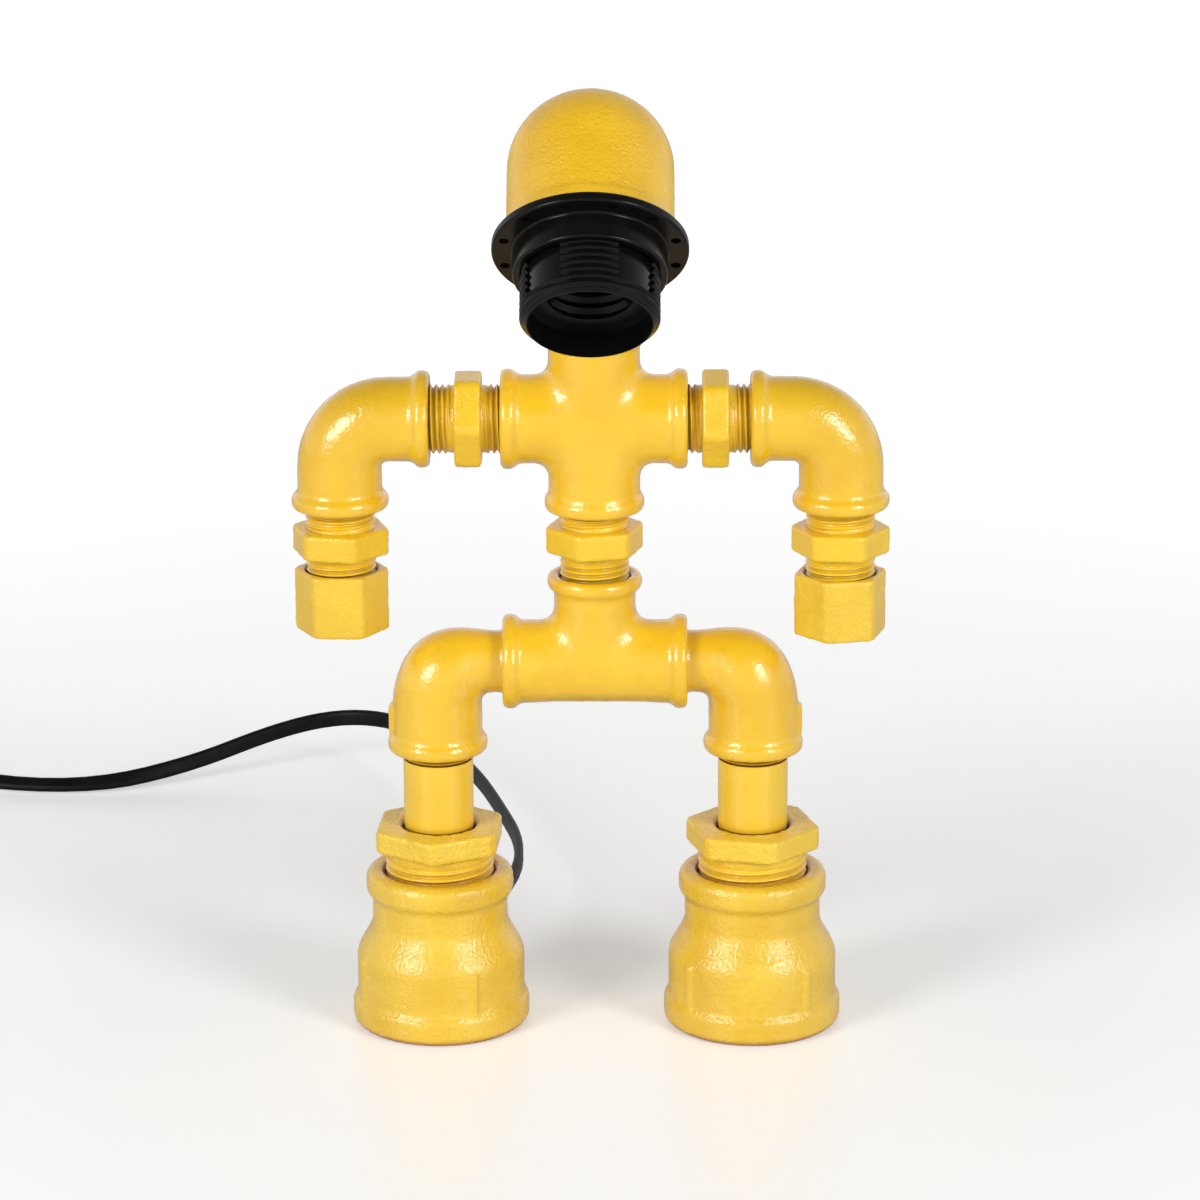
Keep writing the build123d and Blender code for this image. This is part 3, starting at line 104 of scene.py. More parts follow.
cord_route = [cord_exit] + [Vector(place) * mm for place in (
    (-25.732, 98.449, 22.0), (-24.3, 135.2, 22.0), (-31.8, 170.2, 21.5), (-41.3, 207.2, 21.5),
    (-58.8, 249.2, 21.0), (-74.5, 271.0, 20.3), (-93.5, 279.0, 18.6), (-115.0, 273.8, 15.0),
    (-144.8, 261.2, 6.5), (-177.8, 247.7, 2.9), (-222.0, 254.6, 2.9), (-250.5, 263.3, 10.1),
)]
cord_route += [switch_entry] + [coil_start - switch_way * before for before in (40.0 * mm, 10.0 * mm)]
# The upper turns wind inwards, then the cord crosses down and winds outwards again in a lower layer.
# The points stand a little outside the turns, because the curve runs inside its points.
for point in range(1, int(last_turn * turn_points)):
    turns = point / turn_points
    radius = coil_radius - coil_step * min(turns, upper_turns, last_turn - turns)
    drop = coil_layer * ease((turns - upper_turns) / (crossing_end - upper_turns))
    angle = turns * math.tau
    spoke = switch_way * math.sin(angle) - coil_side * math.cos(angle)
    cord_route.append(coil_centre + spoke * radius * coil_corner_share - upward * drop)
for before, drop in ((coil_to_plug, coil_layer), (24.0 * mm, coil_layer),
                     (10.0 * mm, plug_drop), (-3.0 * mm, plug_drop)):
    cord_route.append(plug_entry + switch_way * before - upward * drop)
cord_line = bpy.data.curves.new("cord_line", "CURVE")
cord_line.dimensions = "3D"
cord_line.resolution_u = 5
cord_spline = cord_line.splines.new("NURBS")
cord_spline.points.add(len(cord_route) - 1)
for spline_point, place in zip(cord_spline.points, cord_route):
    spline_point.co = (*place, 1.0)
cord_spline.order_u = 3
cord_spline.use_endpoint_u = True
cord_guide = bpy.data.objects.new("cord_guide", cord_line)
cord_path = [vertex.co.copy() for vertex in bpy.data.meshes.new_from_object(cord_guide).vertices]
bpy.data.objects.remove(cord_guide)


def squared(value, power):
    """A sine or cosine pushed out towards 1, which makes a round section squarer."""
    return math.copysign(abs(value) ** power, value)


def skin_over(name, rings, closed):
    """A skin over rings of points: one tube with flat ends, or a tube that closes on itself."""
    count = len(rings[0])
    faces = []
    for row in range(len(rings) if closed else len(rings) - 1):
        low, high = row * count, (row + 1) % len(rings) * count
        for step in range(count):
            after = (step + 1) % count
            faces.append((low + step, low + after, high + after, high + step))
    if not closed:
        faces.append(tuple(range(count - 1, -1, -1)))
        faces.append(tuple(range((len(rings) - 1) * count, len(rings) * count)))
    mesh = bpy.data.meshes.new(name)
    mesh.from_pydata([point for ring in rings for point in ring], [], faces)
    mesh.shade_smooth()
    piece = bpy.data.objects.new(name, mesh)
    scene.collection.objects.link(piece)
    return piece


# The sheath's section is a flat oval, a little hollow along the line between its two cores.
section_points = 24
section_power = 0.75
groove_share = 0.14
groove_reach = 0.9 * mm
sheath_section = []
for step in range(section_points):
    angle = step * math.tau / section_points
    along = math.cos(angle) * cord_width / 2
    across = squared(math.sin(angle), section_power) * cord_thickness / 2
    across *= 1.0 - groove_share * math.exp(-((along / groove_reach) ** 2))
    sheath_section.append((along, across))

# The cord stands on edge, and leans over where it rests on the floor before the switch.
lean_limit = -258.0 * mm
lean_middle = -196.0 * mm
lean_spread = 44.0 * mm
most_lean = math.radians(60.0)
sheath_rings = []
for place, behind, ahead in zip(cord_path, cord_path[:1] + cord_path, cord_path[1:] + cord_path[-1:]):
    way = (ahead - behind).normalized()
    level = way.cross(upward).normalized()
    upright = level.cross(way)
    lean = 0.0
    if place.x > lean_limit:
        lean = most_lean * math.exp(-(((place.x - lean_middle) / lean_spread) ** 2))
    wide = upright * math.cos(lean) + level * math.sin(lean)
    thin = level * math.cos(lean) - upright * math.sin(lean)
    sheath_rings.append([place + wide * along + thin * across for along, across in sheath_section])
mains_cord = skin_over("mains_cord", sheath_rings, False)


def node_maker(tree):
    """A way to add nodes to a tree, with their settings and the values of their sockets."""
    def node(kind, **settings):
        made = tree.nodes.new(kind)
        for key, value in settings.items():
            if key[0].isupper():
                made.inputs[key.replace("_", " ")].default_value = value
            else:
                setattr(made, key, value)
        return made

    return node


def new_finish(name):
    """A new finish: its principled shader, a way to add nodes and a way to join them."""
    finish = bpy.data.materials.new(name)
    finish.use_nodes = True
    tree = finish.node_tree
    return finish, tree.nodes["Principled BSDF"], node_maker(tree), tree.links.new


def set_ramp(ramp, start, first, end, last):
    """Let a colour ramp run from its first colour at the start to its last colour at the end."""
    for stop, position, colour in zip(ramp.color_ramp.elements, (start, end), (first, last)):
        stop.position = position
        stop.color = (*colour, 1)


def dress(finish, *names):
    """Give a finish to shown CAD nodes."""
    for name in names:
        nodes[name].data.materials.clear()
        nodes[name].data.materials.append(finish)


def fit(piece, finish, body, slot, *node_names):
    """Finish a piece, fix it to its body and let it stand for CAD nodes."""
    piece.data.materials.append(finish)
    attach(piece, body)
    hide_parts(*node_names)


# The sheath is smooth, with faint rub marks that dull its shine further.
black_sheath, shader, node, join = new_finish("black_sheath")
where = node("ShaderNodeTexCoord")
rubbed = node("ShaderNodeTexNoise", Scale=160.0, Detail=6.0, Roughness=0.65)
dull = node("ShaderNodeMapRange", To_Min=0.36, To_Max=0.48)
dust = node("ShaderNodeValToRGB")
set_ramp(dust, 0.45, (0.005, 0.005, 0.0058), 0.85, (0.011, 0.011, 0.0125))
ripple = node("ShaderNodeTexNoise", Scale=700.0, Detail=3.0)
raised = node("ShaderNodeBump", Strength=0.10, Distance=0.2 * mm)
for texture in (rubbed, ripple):
    join(where.outputs["Object"], texture.inputs["Vector"])
join(rubbed.outputs["Fac"], dull.inputs["Value"])
join(dull.outputs["Result"], shader.inputs["Roughness"])
join(rubbed.outputs["Fac"], dust.inputs["Fac"])
join(dust.outputs["Color"], shader.inputs["Base Color"])
join(ripple.outputs["Fac"], raised.inputs["Height"])
join(raised.outputs["Normal"], shader.inputs["Normal"])
shader.inputs["Specular IOR Level"].default_value = 0.14
fit(mains_cord, black_sheath, "left_leg", "black_cord", "free_cord", "cord_coil")
dress(black_sheath, "inner_cord_leg", "inner_cord_hips", "inner_cord_chest", "inner_cord_neck",
      "inner_cord_head", "terminal_leads")

# Coil tie: a strap of woven black tape with a rib at every weft thread. It is pulled round the wound
# cord beside the switch, and its end laps over its start on top.
strap_width = 9.0 * mm
strap_thickness = 0.6 * mm
strap_sides = 20
strap_edge_power = 0.25
strap_face_power = 0.6
half_span = 6.75 * mm
half_rise = 6.6 * mm
strap_bend = 1.4 * mm
weft_pitch = 1.1 * mm
weft_steps = 5
rib_height = 0.07 * mm
lap_begins = 44.0 * mm
lap_slope = 4.0 * mm
lap_rise = 0.75 * mm
corner_points = 7
first_point = 3
last_point = 4 * corner_points + 9
tie_distance = 31.65 * mm
tie_height = 7.0 * mm
tie_middle = coil_centre - switch_way * tie_distance
tie_middle.z = tie_height
loop = []
for corner, (out, rise) in enumerate(((1, 1), (-1, 1), (-1, -1), (1, -1), (1, 1), (-1, 1), (-1, -1))):
    bend_middle = Vector((out * (half_span - strap_bend), rise * (half_rise - strap_bend), 0.0))
    for step in range(corner_points):
        angle = (corner + step / (corner_points - 1)) * math.pi / 2
        normal = Vector((math.cos(angle), math.sin(angle), 0.0))
        loop.append((bend_middle + normal * strap_bend, normal))
strap_rings = []
run = 0.0
for (first, normal), (second, next_normal) in zip(loop[first_point:last_point], loop[first_point + 1:]):
    length = (second - first).length
    pieces = max(1, round(length / (weft_pitch / weft_steps)))
    for piece in range(pieces):
        share = piece / pieces
        here = first.lerp(second, share)
        outward = normal.lerp(next_normal, share).normalized()
        lap = lap_rise * clamped((run - lap_begins) / lap_slope)
        rib = rib_height * math.cos(run / weft_pitch * math.tau)
        ring = []
        for step in range(strap_sides):
            angle = step * math.tau / strap_sides
            side = squared(math.cos(angle), strap_edge_power) * strap_width / 2
            thick = squared(math.sin(angle), strap_face_power) * (strap_thickness / 2 + rib)
            flat = here + outward * (thick + lap)
            ring.append(tie_middle + switch_way * flat.x + upward * flat.y + coil_side * side)
        strap_rings.append(ring)
        run += length / pieces
coil_strap = skin_over("coil_strap", strap_rings, False)
woven_tape, shader, node, join = new_finish("woven_tape")
where = node("ShaderNodeTexCoord")
fuzz = node("ShaderNodeTexNoise", Scale=2600.0, Detail=4.0, Roughness=0.7)
tone = node("ShaderNodeValToRGB")
set_ramp(tone, 0.0, (0.008, 0.008, 0.009), 1.0, (0.040, 0.040, 0.042))
raised = node("ShaderNodeBump", Strength=0.8, Distance=0.2 * mm)
join(where.outputs["Object"], fuzz.inputs["Vector"])
join(fuzz.outputs["Fac"], tone.inputs["Fac"])
join(tone.outputs["Color"], shader.inputs["Base Color"])
join(fuzz.outputs["Fac"], raised.inputs["Height"])
join(raised.outputs["Normal"], shader.inputs["Normal"])
shader.inputs["Roughness"].default_value = 0.85
shader.inputs["Sheen Weight"].default_value = 0.3
fit(coil_strap, woven_tape, "left_leg", "tie_fabric", "coil_tie")


# Feet: reducing sockets of malleable iron, cast in sand with the wide end down, so that their
# skin is lumpy and grainy. They are sprayed all over with a thick warm yellow enamel.
def enamel(name, deep, light, grain, relief, shine, gloss, grime_and_shade, grime_and_shade_reach):
    """Yellow enamel over cast or machined iron, darkened in its hollows by ambient occlusion: dirt and
    painted shade.
    """
    finish, shader, node, join = new_finish(name)
    where = node("ShaderNodeTexCoord")
    cloud = node("ShaderNodeTexNoise", Scale=42.0, Detail=6.0, Roughness=0.62)
    tone = node("ShaderNodeValToRGB")
    set_ramp(tone, 0.32, deep, 0.68, light)
    # Painted shade: ambient occlusion darkens the base colour towards the grime colour in hollows, creases
    # and joints, standing for dirt and shade together.
    hollow = node("ShaderNodeAmbientOcclusion", samples=8, Distance=grime_and_shade_reach)
    stain_and_shade = node("ShaderNodeValToRGB")
    set_ramp(stain_and_shade, 0.18, grime_and_shade, 0.72, (1, 1, 1))
    stain_and_shaded = node("ShaderNodeMix", data_type="RGBA", blend_type="MULTIPLY")
    stain_and_shaded.inputs[0].default_value = 1.0
    peel = node("ShaderNodeTexNoise", Scale=grain, Detail=2.5, Roughness=0.55)
    raised = node("ShaderNodeBump", Strength=1.0, Distance=relief)
    dull = node("ShaderNodeMapRange", To_Min=shine - 0.05, To_Max=shine + 0.08)
    film = node("ShaderNodeBump", Strength=0.6, Distance=relief)
    for texture in (cloud, peel):
        join(where.outputs["Object"], texture.inputs["Vector"])
    join(cloud.outputs["Fac"], tone.inputs["Fac"])
    join(hollow.outputs["AO"], stain_and_shade.inputs["Fac"])
    # The mix node's two colours are its inputs 6 and 7, and the mixed colour is its output 2.
    join(tone.outputs["Color"], stain_and_shaded.inputs[6])
    join(stain_and_shade.outputs["Color"], stain_and_shaded.inputs[7])
    join(stain_and_shaded.outputs[2], shader.inputs["Base Color"])
    join(cloud.outputs["Fac"], dull.inputs["Value"])
    join(dull.outputs["Result"], shader.inputs["Roughness"])
    join(peel.outputs["Fac"], raised.inputs["Height"])
    join(raised.outputs["Normal"], shader.inputs["Normal"])
    join(peel.outputs["Fac"], film.inputs["Height"])
    join(film.outputs["Normal"], shader.inputs["Coat Normal"])
    shader.inputs["Coat Weight"].default_value = gloss
    shader.inputs["Coat Roughness"].default_value = 0.10
    shader.inputs["IOR"].default_value = 1.5
    return finish


def add_lumps(mesh, lumps, lump_size):
    """Push each vertex of a mesh in or out by up to its own depth of lumps."""
    places = [vertex.co + vertex.normal * lump * noise.noise(vertex.co / lump_size)
              for vertex, lump in zip(mesh.vertices, lumps)]
    for vertex, place in zip(mesh.vertices, places):
        vertex.co = place


def cast_skin(node_name, piece_name, body, finish, slot, voxel, lump, lump_size, crotch=None):
    """The skin of a sand casting: its solid with an even mesh, soft edges and small lumps, and with
    wide blends around the middle of its crotch where it has one."""
    piece = bpy.data.objects.new(piece_name, nodes[node_name].data.copy())
    scene.collection.objects.link(piece)
    even = piece.modifiers.new("even", "REMESH")
    even.mode = "VOXEL"
    even.voxel_size = voxel
    soft = piece.modifiers.new("soft", "SMOOTH")
    soft.factor = 0.5
    soft.iterations = 5

    def settle():
        mesh = bpy.data.meshes.new_from_object(
            piece.evaluated_get(bpy.context.evaluated_depsgraph_get()))
        piece.modifiers.clear()
        piece.data = mesh
        return mesh

    mesh = settle()
    if crotch:
        blend_reach = 23.0 * mm
        blend_fade = 4.0 * mm
        near = piece.vertex_groups.new(name="near_crotch")
        for vertex in mesh.vertices:
            share = (blend_reach - (vertex.co - crotch).length) / blend_fade
            if share > 0.0:
                near.add([vertex.index], min(share, 1.0), "REPLACE")
        blend = piece.modifiers.new("blend", "SMOOTH")
        blend.vertex_group = "near_crotch"
        blend.factor = 0.5
        blend.iterations = 260
        mesh = settle()
        piece.vertex_groups.clear()
    add_lumps(mesh, [lump] * len(mesh.vertices), lump_size)
    mesh.shade_smooth()
    mesh.materials.clear()
    fit(piece, finish, body, slot, node_name)
    return piece


def past_corner(distance, reach):
    """How far a rounded corner has turned off a straight line, the round reaching to both its sides."""
    if abs(distance) < reach:
        return (distance + reach) ** 2 / (4.0 * reach)
    return max(distance, 0.0)


def axis_point(low, high, height):
    """The point at a height on the upright axis through the middle of a box."""
    return Vector(((low.x + high.x) / 2, (low.y + high.y) / 2, height))


cast_enamel = enamel(
    "cast_enamel", deep=(0.83, 0.50, 0.018), light=(0.96, 0.64, 0.044), grain=1000.0, relief=0.40 * mm,
    shine=0.25, gloss=0.7, grime_and_shade=(0.50, 0.29, 0.02), grime_and_shade_reach=4.0 * mm)

# Below the neck the casting swells like a bell instead of the solid's plain cone, its paint is thick,
# and its top bead is a little higher. Deeper in its wall nothing moves, so the bore keeps its place.
foot_body_radius = 25.3 * mm
foot_step = 5.0 * mm
cone_bottom = 21.5 * mm
cone_bottom_round = 1.4 * mm
cone_top = 34.5 * mm
cone_top_round = 0.9 * mm
bell_bottom = 21.0 * mm
bell_top = 34.0 * mm
thick_paint = 0.4 * mm
still_depth = 3.0 * mm
still_fade = 2.0 * mm
bead_bottom = 41.0 * mm
bead_rise = 1.2 * mm
for side in ("left", "right"):
    foot = cast_skin(f"foot_{side}", f"cast_foot_{side}", f"{side}_leg", cast_enamel, "yellow_paint",
                     voxel=0.55 * mm, lump=0.14 * mm, lump_size=0.8 * mm)
    low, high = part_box(f"foot_{side}")
    for vertex in foot.data.vertices:
        height = vertex.co.z
        spoke = vertex.co - axis_point(low, high, height)
        up_cone = past_corner(height - cone_bottom, cone_bottom_round)
        up_cone -= past_corner(height - cone_top, cone_top_round)
        cone = foot_body_radius - foot_step * up_cone / (cone_top - cone_bottom)
        bell = foot_body_radius - foot_step * ease((height - bell_bottom) / (bell_top - bell_bottom))
        outside = clamped((spoke.length - cone + still_depth) / still_fade)
        vertex.co += spoke.normalized() * (bell - cone + thick_paint) * outside
        vertex.co.z += bead_rise * max((height - bead_bottom) / (high.z - bead_bottom), 0.0)
        vertex.co.z = max(vertex.co.z, low.z)

# Ankle nuts: hexagon bushes that reduce the feet's ports to the shins. Their hexagons are rough from
# the mould, and below them a few turns of a one-inch pipe thread show above the feet.
nut_enamel = enamel(
    "nut_enamel", deep=(0.92, 0.58, 0.026), light=(1.00, 0.70, 0.056), grain=900.0, relief=0.60 * mm,
    shine=0.33, gloss=0.5, grime_and_shade=(0.50, 0.34, 0.02), grime_and_shade_reach=3.0 * mm)
thread_flank = 0.4
thread_tooth = 0.9
rows_per_turn = 9
blunt_corner = 1.118
hexagon_row = 0.8 * mm


def right_hand_thread(height, thread, core):
    """Radius around a right-hand thread at one height, never less than the core's radius."""
    diameter, pitch, depth = thread

    def radius(angle):
        phase = (height / pitch - angle / math.tau) % 1.0
        tooth = max(0.0, min(phase / thread_flank, 1.0, (thread_tooth - phase) / thread_flank))
        return max(core, diameter / 2 - depth + depth * tooth)

    return radius


def thread_rows(start, end, thread, neck):
    """Rows of a threaded length that runs out of its plain neck over the first turn."""
    diameter, pitch, depth = thread
    root = diameter / 2 - depth
    count = int(abs(end - start) / pitch * rows_per_turn)
    rows = []
    for row in range(count + 1):
        height = start + (end - start) * row / count
        run_out = min(abs(height - start) / pitch, 1.0)
        core = neck + (root - neck) * run_out
        rows.append((height, right_hand_thread(height, thread, core), 0.0))
    return rows


def hexagon(flats, spin, trim):
    """Radius around a hexagon, its sides moved in by the trim and its corners slightly blunt."""
    def radius(angle):
        turn = (angle - spin) % (math.pi / 3) - math.pi / 6
        return (flats / 2 - trim) * min(1 / math.cos(turn), blunt_corner)

    return radius


def hexagon_rows(low, high, flats, spin, edge, grain):
    """Rows up the outside of a hexagon with rounded edges."""
    trims = ((0.0, edge), (0.3 * edge, 0.3 * edge), (edge, 0.0))
    steps = max(3, int((high - low) / hexagon_row))
    rows = [(low + rise, hexagon(flats, spin, trim), grain) for rise, trim in trims]
    for row in range(1, steps):
        rows.append((low + edge + (high - low - 2 * edge) * row / steps, hexagon(flats, spin, 0.0), grain))
    return rows + [(high - rise, hexagon(flats, spin, trim), grain) for rise, trim in trims[::-1]]


def face_rows(height, inner, flats, spin, edge, grain):
    """Rows across the flat face of a hexagon, from a round hole out to the rounded edge."""
    outer = hexagon(flats, spin, edge)

    def between(share):
        return lambda angle: inner + (outer(angle) - inner) * share

    return [(height, between(share), grain) for share in (0.0, 0.14, 0.29, 0.43, 0.57, 0.71, 0.86)]


def turned(name, place, axis, level, rows, steps, closed, lump_size=2.0 * mm):
    """A piece made of rows around an axis, each with a height, a radius and a depth of cast lumps."""
    across = axis.cross(level)
    rings, lumps = [], []
    for height, radius, lump in rows:
        ring = []
        for step in range(steps):
            angle = step * math.tau / steps
            reach = radius(angle) if callable(radius) else radius
            spoke = level * math.cos(angle) + across * math.sin(angle)
            ring.append(place + axis * height + spoke * reach)
            lumps.append(lump)
        rings.append(ring)
    piece = skin_over(name, rings, closed)
    add_lumps(piece.data, lumps, lump_size)
    return piece


# A pipe thread is its diameter, its pitch and its depth.
one_inch_thread = (33.249 * mm, 2.309 * mm, 1.479 * mm)
level_x = Vector((1, 0, 0))
bush_flats = 36.7 * mm
bush_thickness = 7.1 * mm
bush_edge = 0.9 * mm
bush_rise = 2.8 * mm
bush_neck = 16.3 * mm
bush_neck_length = 2.4 * mm
bush_thread_length = 18.6 * mm
bush_chamfer = 1.0 * mm
bush_tip = 14.1 * mm
bush_bore = 8.0 * mm
shin_port = 10.56 * mm
shin_port_depth = 15.6 * mm
port_mouth = 12.2 * mm
port_mouth_depth = 1.6 * mm
for side, spin in (("left", 26.0), ("right", -13.0)):
    low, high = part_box(f"ankle_bush_{side}")
    bush_centre = axis_point(low, high, high.z - bush_thickness + bush_rise)
    turn = math.radians(spin)
    rows = [(-bush_thread_length, bush_bore, 0.0), (-bush_thread_length, bush_tip, 0.0)]
    thread = thread_rows(-bush_neck_length, bush_chamfer - bush_thread_length, one_inch_thread, bush_neck)
    rows += thread[::-1]
    rows += [(-bush_neck_length / 2, bush_neck, 0.0), (0.0, bush_neck, 0.0)]
    rows += face_rows(0.0, bush_neck + 0.2 * mm, bush_flats, turn, bush_edge, grain=0.10 * mm)
    rows += hexagon_rows(0.0, bush_thickness, bush_flats, turn, bush_edge, grain=0.20 * mm)
    rows += face_rows(bush_thickness, port_mouth, bush_flats, turn, bush_edge, grain=0.20 * mm)[::-1]
    rows += [(bush_thickness - port_mouth_depth, shin_port, 0.0),
             (bush_thickness - shin_port_depth, shin_port, 0.0),
             (bush_thickness - shin_port_depth, bush_bore, 0.0)]
    bush = turned(f"ankle_nut_{side}", bush_centre, upward, level_x, rows, steps=192, closed=True,
                  lump_size=1.3 * mm)
    fit(bush, nut_enamel, f"{side}_leg", "fitting_paint", f"ankle_bush_{side}")

# Shins: short lengths of drawn steel pipe, smoother than the castings. They are threaded at both ends
# and screwed into the ankle nuts and the hip elbows.
pipe_enamel = enamel(
    "pipe_enamel", deep=(0.88, 0.56, 0.030), light=(0.95, 0.63, 0.048), grain=420.0, relief=0.05 * mm,
    shine=0.26, gloss=0.4, grime_and_shade=(0.36, 0.24, 0.01), grime_and_shade_reach=4.0 * mm)
dress(pipe_enamel, "shin_pipe_left", "shin_pipe_right")

# Hips, chest, arms and neck: beaded malleable iron fittings, tumbled smooth before they were sprayed,
# so that the enamel is glossy with a fine orange peel.
smooth_enamel = enamel(
    "smooth_enamel", deep=(0.87, 0.505, 0.011), light=(0.96, 0.60, 0.022), grain=1000.0, relief=0.19 * mm,
    shine=0.20, gloss=0.8, grime_and_shade=(0.45, 0.25, 0.01), grime_and_shade_reach=4.0 * mm)
crotch_below_top = 28.0 * mm
for name, body in (("hip_elbow_left", "left_leg"), ("hip_elbow_right", "right_leg"), ("hip_tee", "hips"),
                   ("chest_cross", "torso"), ("arm_elbow_left", "arm_left"),
                   ("arm_elbow_right", "arm_right"), ("neck_elbow", "neck")):
    low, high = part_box(name)
    middle = axis_point(low, high, high.z - crotch_below_top)
    cast_skin(name, f"cast_{name}", body, smooth_enamel, "yellow_paint",
              voxel=0.7 * mm, lump=0.07 * mm, lump_size=3.0 * mm,
              crotch=middle if name in ("hip_tee", "chest_cross") else None)

# Nipples of the waist, shoulders, forearms and neck: cast hexagons with a half-inch pipe thread cut
# on both ends, which join one fitting to the next. Dirt and painted shade show dark green in the
# roots of the threads.
nipple_enamel = enamel(
    "nipple_enamel", deep=(0.88, 0.54, 0.011), light=(0.98, 0.65, 0.024), grain=1300.0, relief=0.30 * mm,
    shine=0.28, gloss=0.6, grime_and_shade=(0.22, 0.17, 0.006), grime_and_shade_reach=2.2 * mm)
half_inch_thread = (20.955 * mm, 1.814 * mm, 1.162 * mm)
nipple_flats = 26.4 * mm
nipple_edge = 0.8 * mm
half_hexagon = 4.0 * mm
neck_radius = 10.1 * mm
face_start = neck_radius + 0.1 * mm
thread_start = 5.3 * mm
nipple_end = 22.0 * mm
nipple_chamfer = 1.0 * mm
nipple_tip = 8.3 * mm
nipple_bore = 7.5 * mm
level_y = Vector((0, 1, 0))
lean_axis = Vector((0, -1, 1)).normalized()
for name, body, axis, level, spin in (
    ("waist_nipple", "hips", upward, level_x, 12.0),
    ("shoulder_nipple_left", "torso", -level_x, level_y, 0.0),
    ("shoulder_nipple_right", "torso", level_x, level_y, 8.0),
    ("forearm_nipple_left", "arm_left", upward, level_x, -12.0),
    ("forearm_nipple_right", "arm_right", upward, level_x, -5.0),
    ("neck_nipple", "neck", lean_axis, level_x, 0.0),
):
    low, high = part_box(name)
    centre = (low + high) / 2
    turn = math.radians(spin)
    upper_end, lower_end = [
        thread_rows(way * thread_start, way * (nipple_end - nipple_chamfer), half_inch_thread, neck_radius)
        for way in (1, -1)]
    rows = [(-nipple_end, nipple_bore, 0.0), (-nipple_end, nipple_tip, 0.0)] + lower_end[::-1]
    rows += [(-half_hexagon, neck_radius, 0.0)]
    rows += face_rows(-half_hexagon, face_start, nipple_flats, turn, nipple_edge, grain=0.05 * mm)
    rows += hexagon_rows(-half_hexagon, half_hexagon, nipple_flats, turn, nipple_edge, grain=0.16 * mm)
    rows += face_rows(half_hexagon, face_start, nipple_flats, turn, nipple_edge, grain=0.05 * mm)[::-1]
    rows += [(half_hexagon, neck_radius, 0.0)] + upper_end
    rows += [(nipple_end, nipple_tip, 0.0), (nipple_end, nipple_bore, 0.0)]
    nipple = turned(f"threaded_{name}", centre, axis, level, rows, steps=96, closed=True)
    fit(nipple, nipple_enamel, body, "fitting_paint", name)

# Hands: hexagon pipe caps of malleable iron with rounded mould edges and a blind bore. They are
# screwed onto the forearms' nipples from below.
cap_enamel = enamel(
    "cap_enamel", deep=(0.84, 0.52, 0.022), light=(0.95, 0.63, 0.042), grain=1300.0, relief=0.34 * mm,
    shine=0.30, gloss=0.5, grime_and_shade=(0.32, 0.22, 0.008), grime_and_shade_reach=3.0 * mm)
cap_flats = 25.2 * mm
cap_edge = 0.7 * mm
cap_height = 19.0 * mm
cap_bore = 10.56 * mm
cap_bore_depth = 15.5 * mm
cap_chamfer = 0.9 * mm
end_disc = 0.4 * mm
for side, spin in (("left", -2.0), ("right", 12.0)):
    low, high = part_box(f"hand_cap_{side}")
    top = axis_point(low, high, high.z)
    turn = math.radians(spin)
    rows = [(-cap_bore_depth, end_disc, 0.0), (-cap_bore_depth, cap_bore, 0.0)]
    rows += [(-cap_chamfer, cap_bore, 0.0)]
    rows += face_rows(0.0, cap_bore + cap_chamfer, cap_flats, turn, cap_edge, grain=0.05 * mm)
    rows += hexagon_rows(-cap_height, 0.0, cap_flats, turn, cap_edge, grain=0.16 * mm)[::-1]
    rows += face_rows(-cap_height, end_disc, cap_flats, turn, cap_edge, grain=0.10 * mm)[::-1]
    cap = turned(f"cast_hand_{side}", top, upward, level_x, rows, steps=96, closed=False)
    fit(cap, cap_enamel, f"arm_{side}", "fitting_paint", f"hand_cap_{side}")

# Head: a reducing elbow whose wide port looks forward and down. It is the largest casting, and its
# dome keeps the grain of the sand.
head_enamel = enamel(
    "head_enamel", deep=(0.82, 0.46, 0.009), light=(0.94, 0.58, 0.022), grain=1000.0, relief=0.40 * mm,
    shine=0.30, gloss=0.3, grime_and_shade=(0.50, 0.27, 0.01), grime_and_shade_reach=4.0 * mm)
cast_skin("head_elbow", "cast_head", "head", head_enamel, "yellow_paint",
          voxel=0.55 * mm, lump=0.12 * mm, lump_size=0.8 * mm)


# Lampholder: a barrel of black moulded plastic with a thread outside for the shade ring and a round
# lamp thread inside. Four smooth panels interrupt the outside thread behind the mouth.
def moulding(name, dark, light, shine, grain, relief, specular):
    """Moulded plastic or rubber: a fine grain from the mould, and a shine dulled by handling."""
    finish, shader, node, join = new_finish(name)
    where = node("ShaderNodeTexCoord")
    spark = node("ShaderNodeTexNoise", Scale=grain, Detail=3.0, Roughness=0.6)
    handled = node("ShaderNodeTexNoise", Scale=110.0, Detail=5.0, Roughness=0.6)
    dull = node("ShaderNodeMapRange", To_Min=shine - 0.08, To_Max=shine + 0.10)
    tone = node("ShaderNodeValToRGB")
    set_ramp(tone, 0.4, dark, 0.8, light)
    raised = node("ShaderNodeBump", Strength=0.5, Distance=relief)
    for texture in (spark, handled):
        join(where.outputs["Object"], texture.inputs["Vector"])
    join(handled.outputs["Fac"], dull.inputs["Value"])
    join(dull.outputs["Result"], shader.inputs["Roughness"])
    join(handled.outputs["Fac"], tone.inputs["Fac"])
    join(tone.outputs["Color"], shader.inputs["Base Color"])
    join(spark.outputs["Fac"], raised.inputs["Height"])
    join(raised.outputs["Normal"], shader.inputs["Normal"])
    shader.inputs["Specular IOR Level"].default_value = specular
    return finish


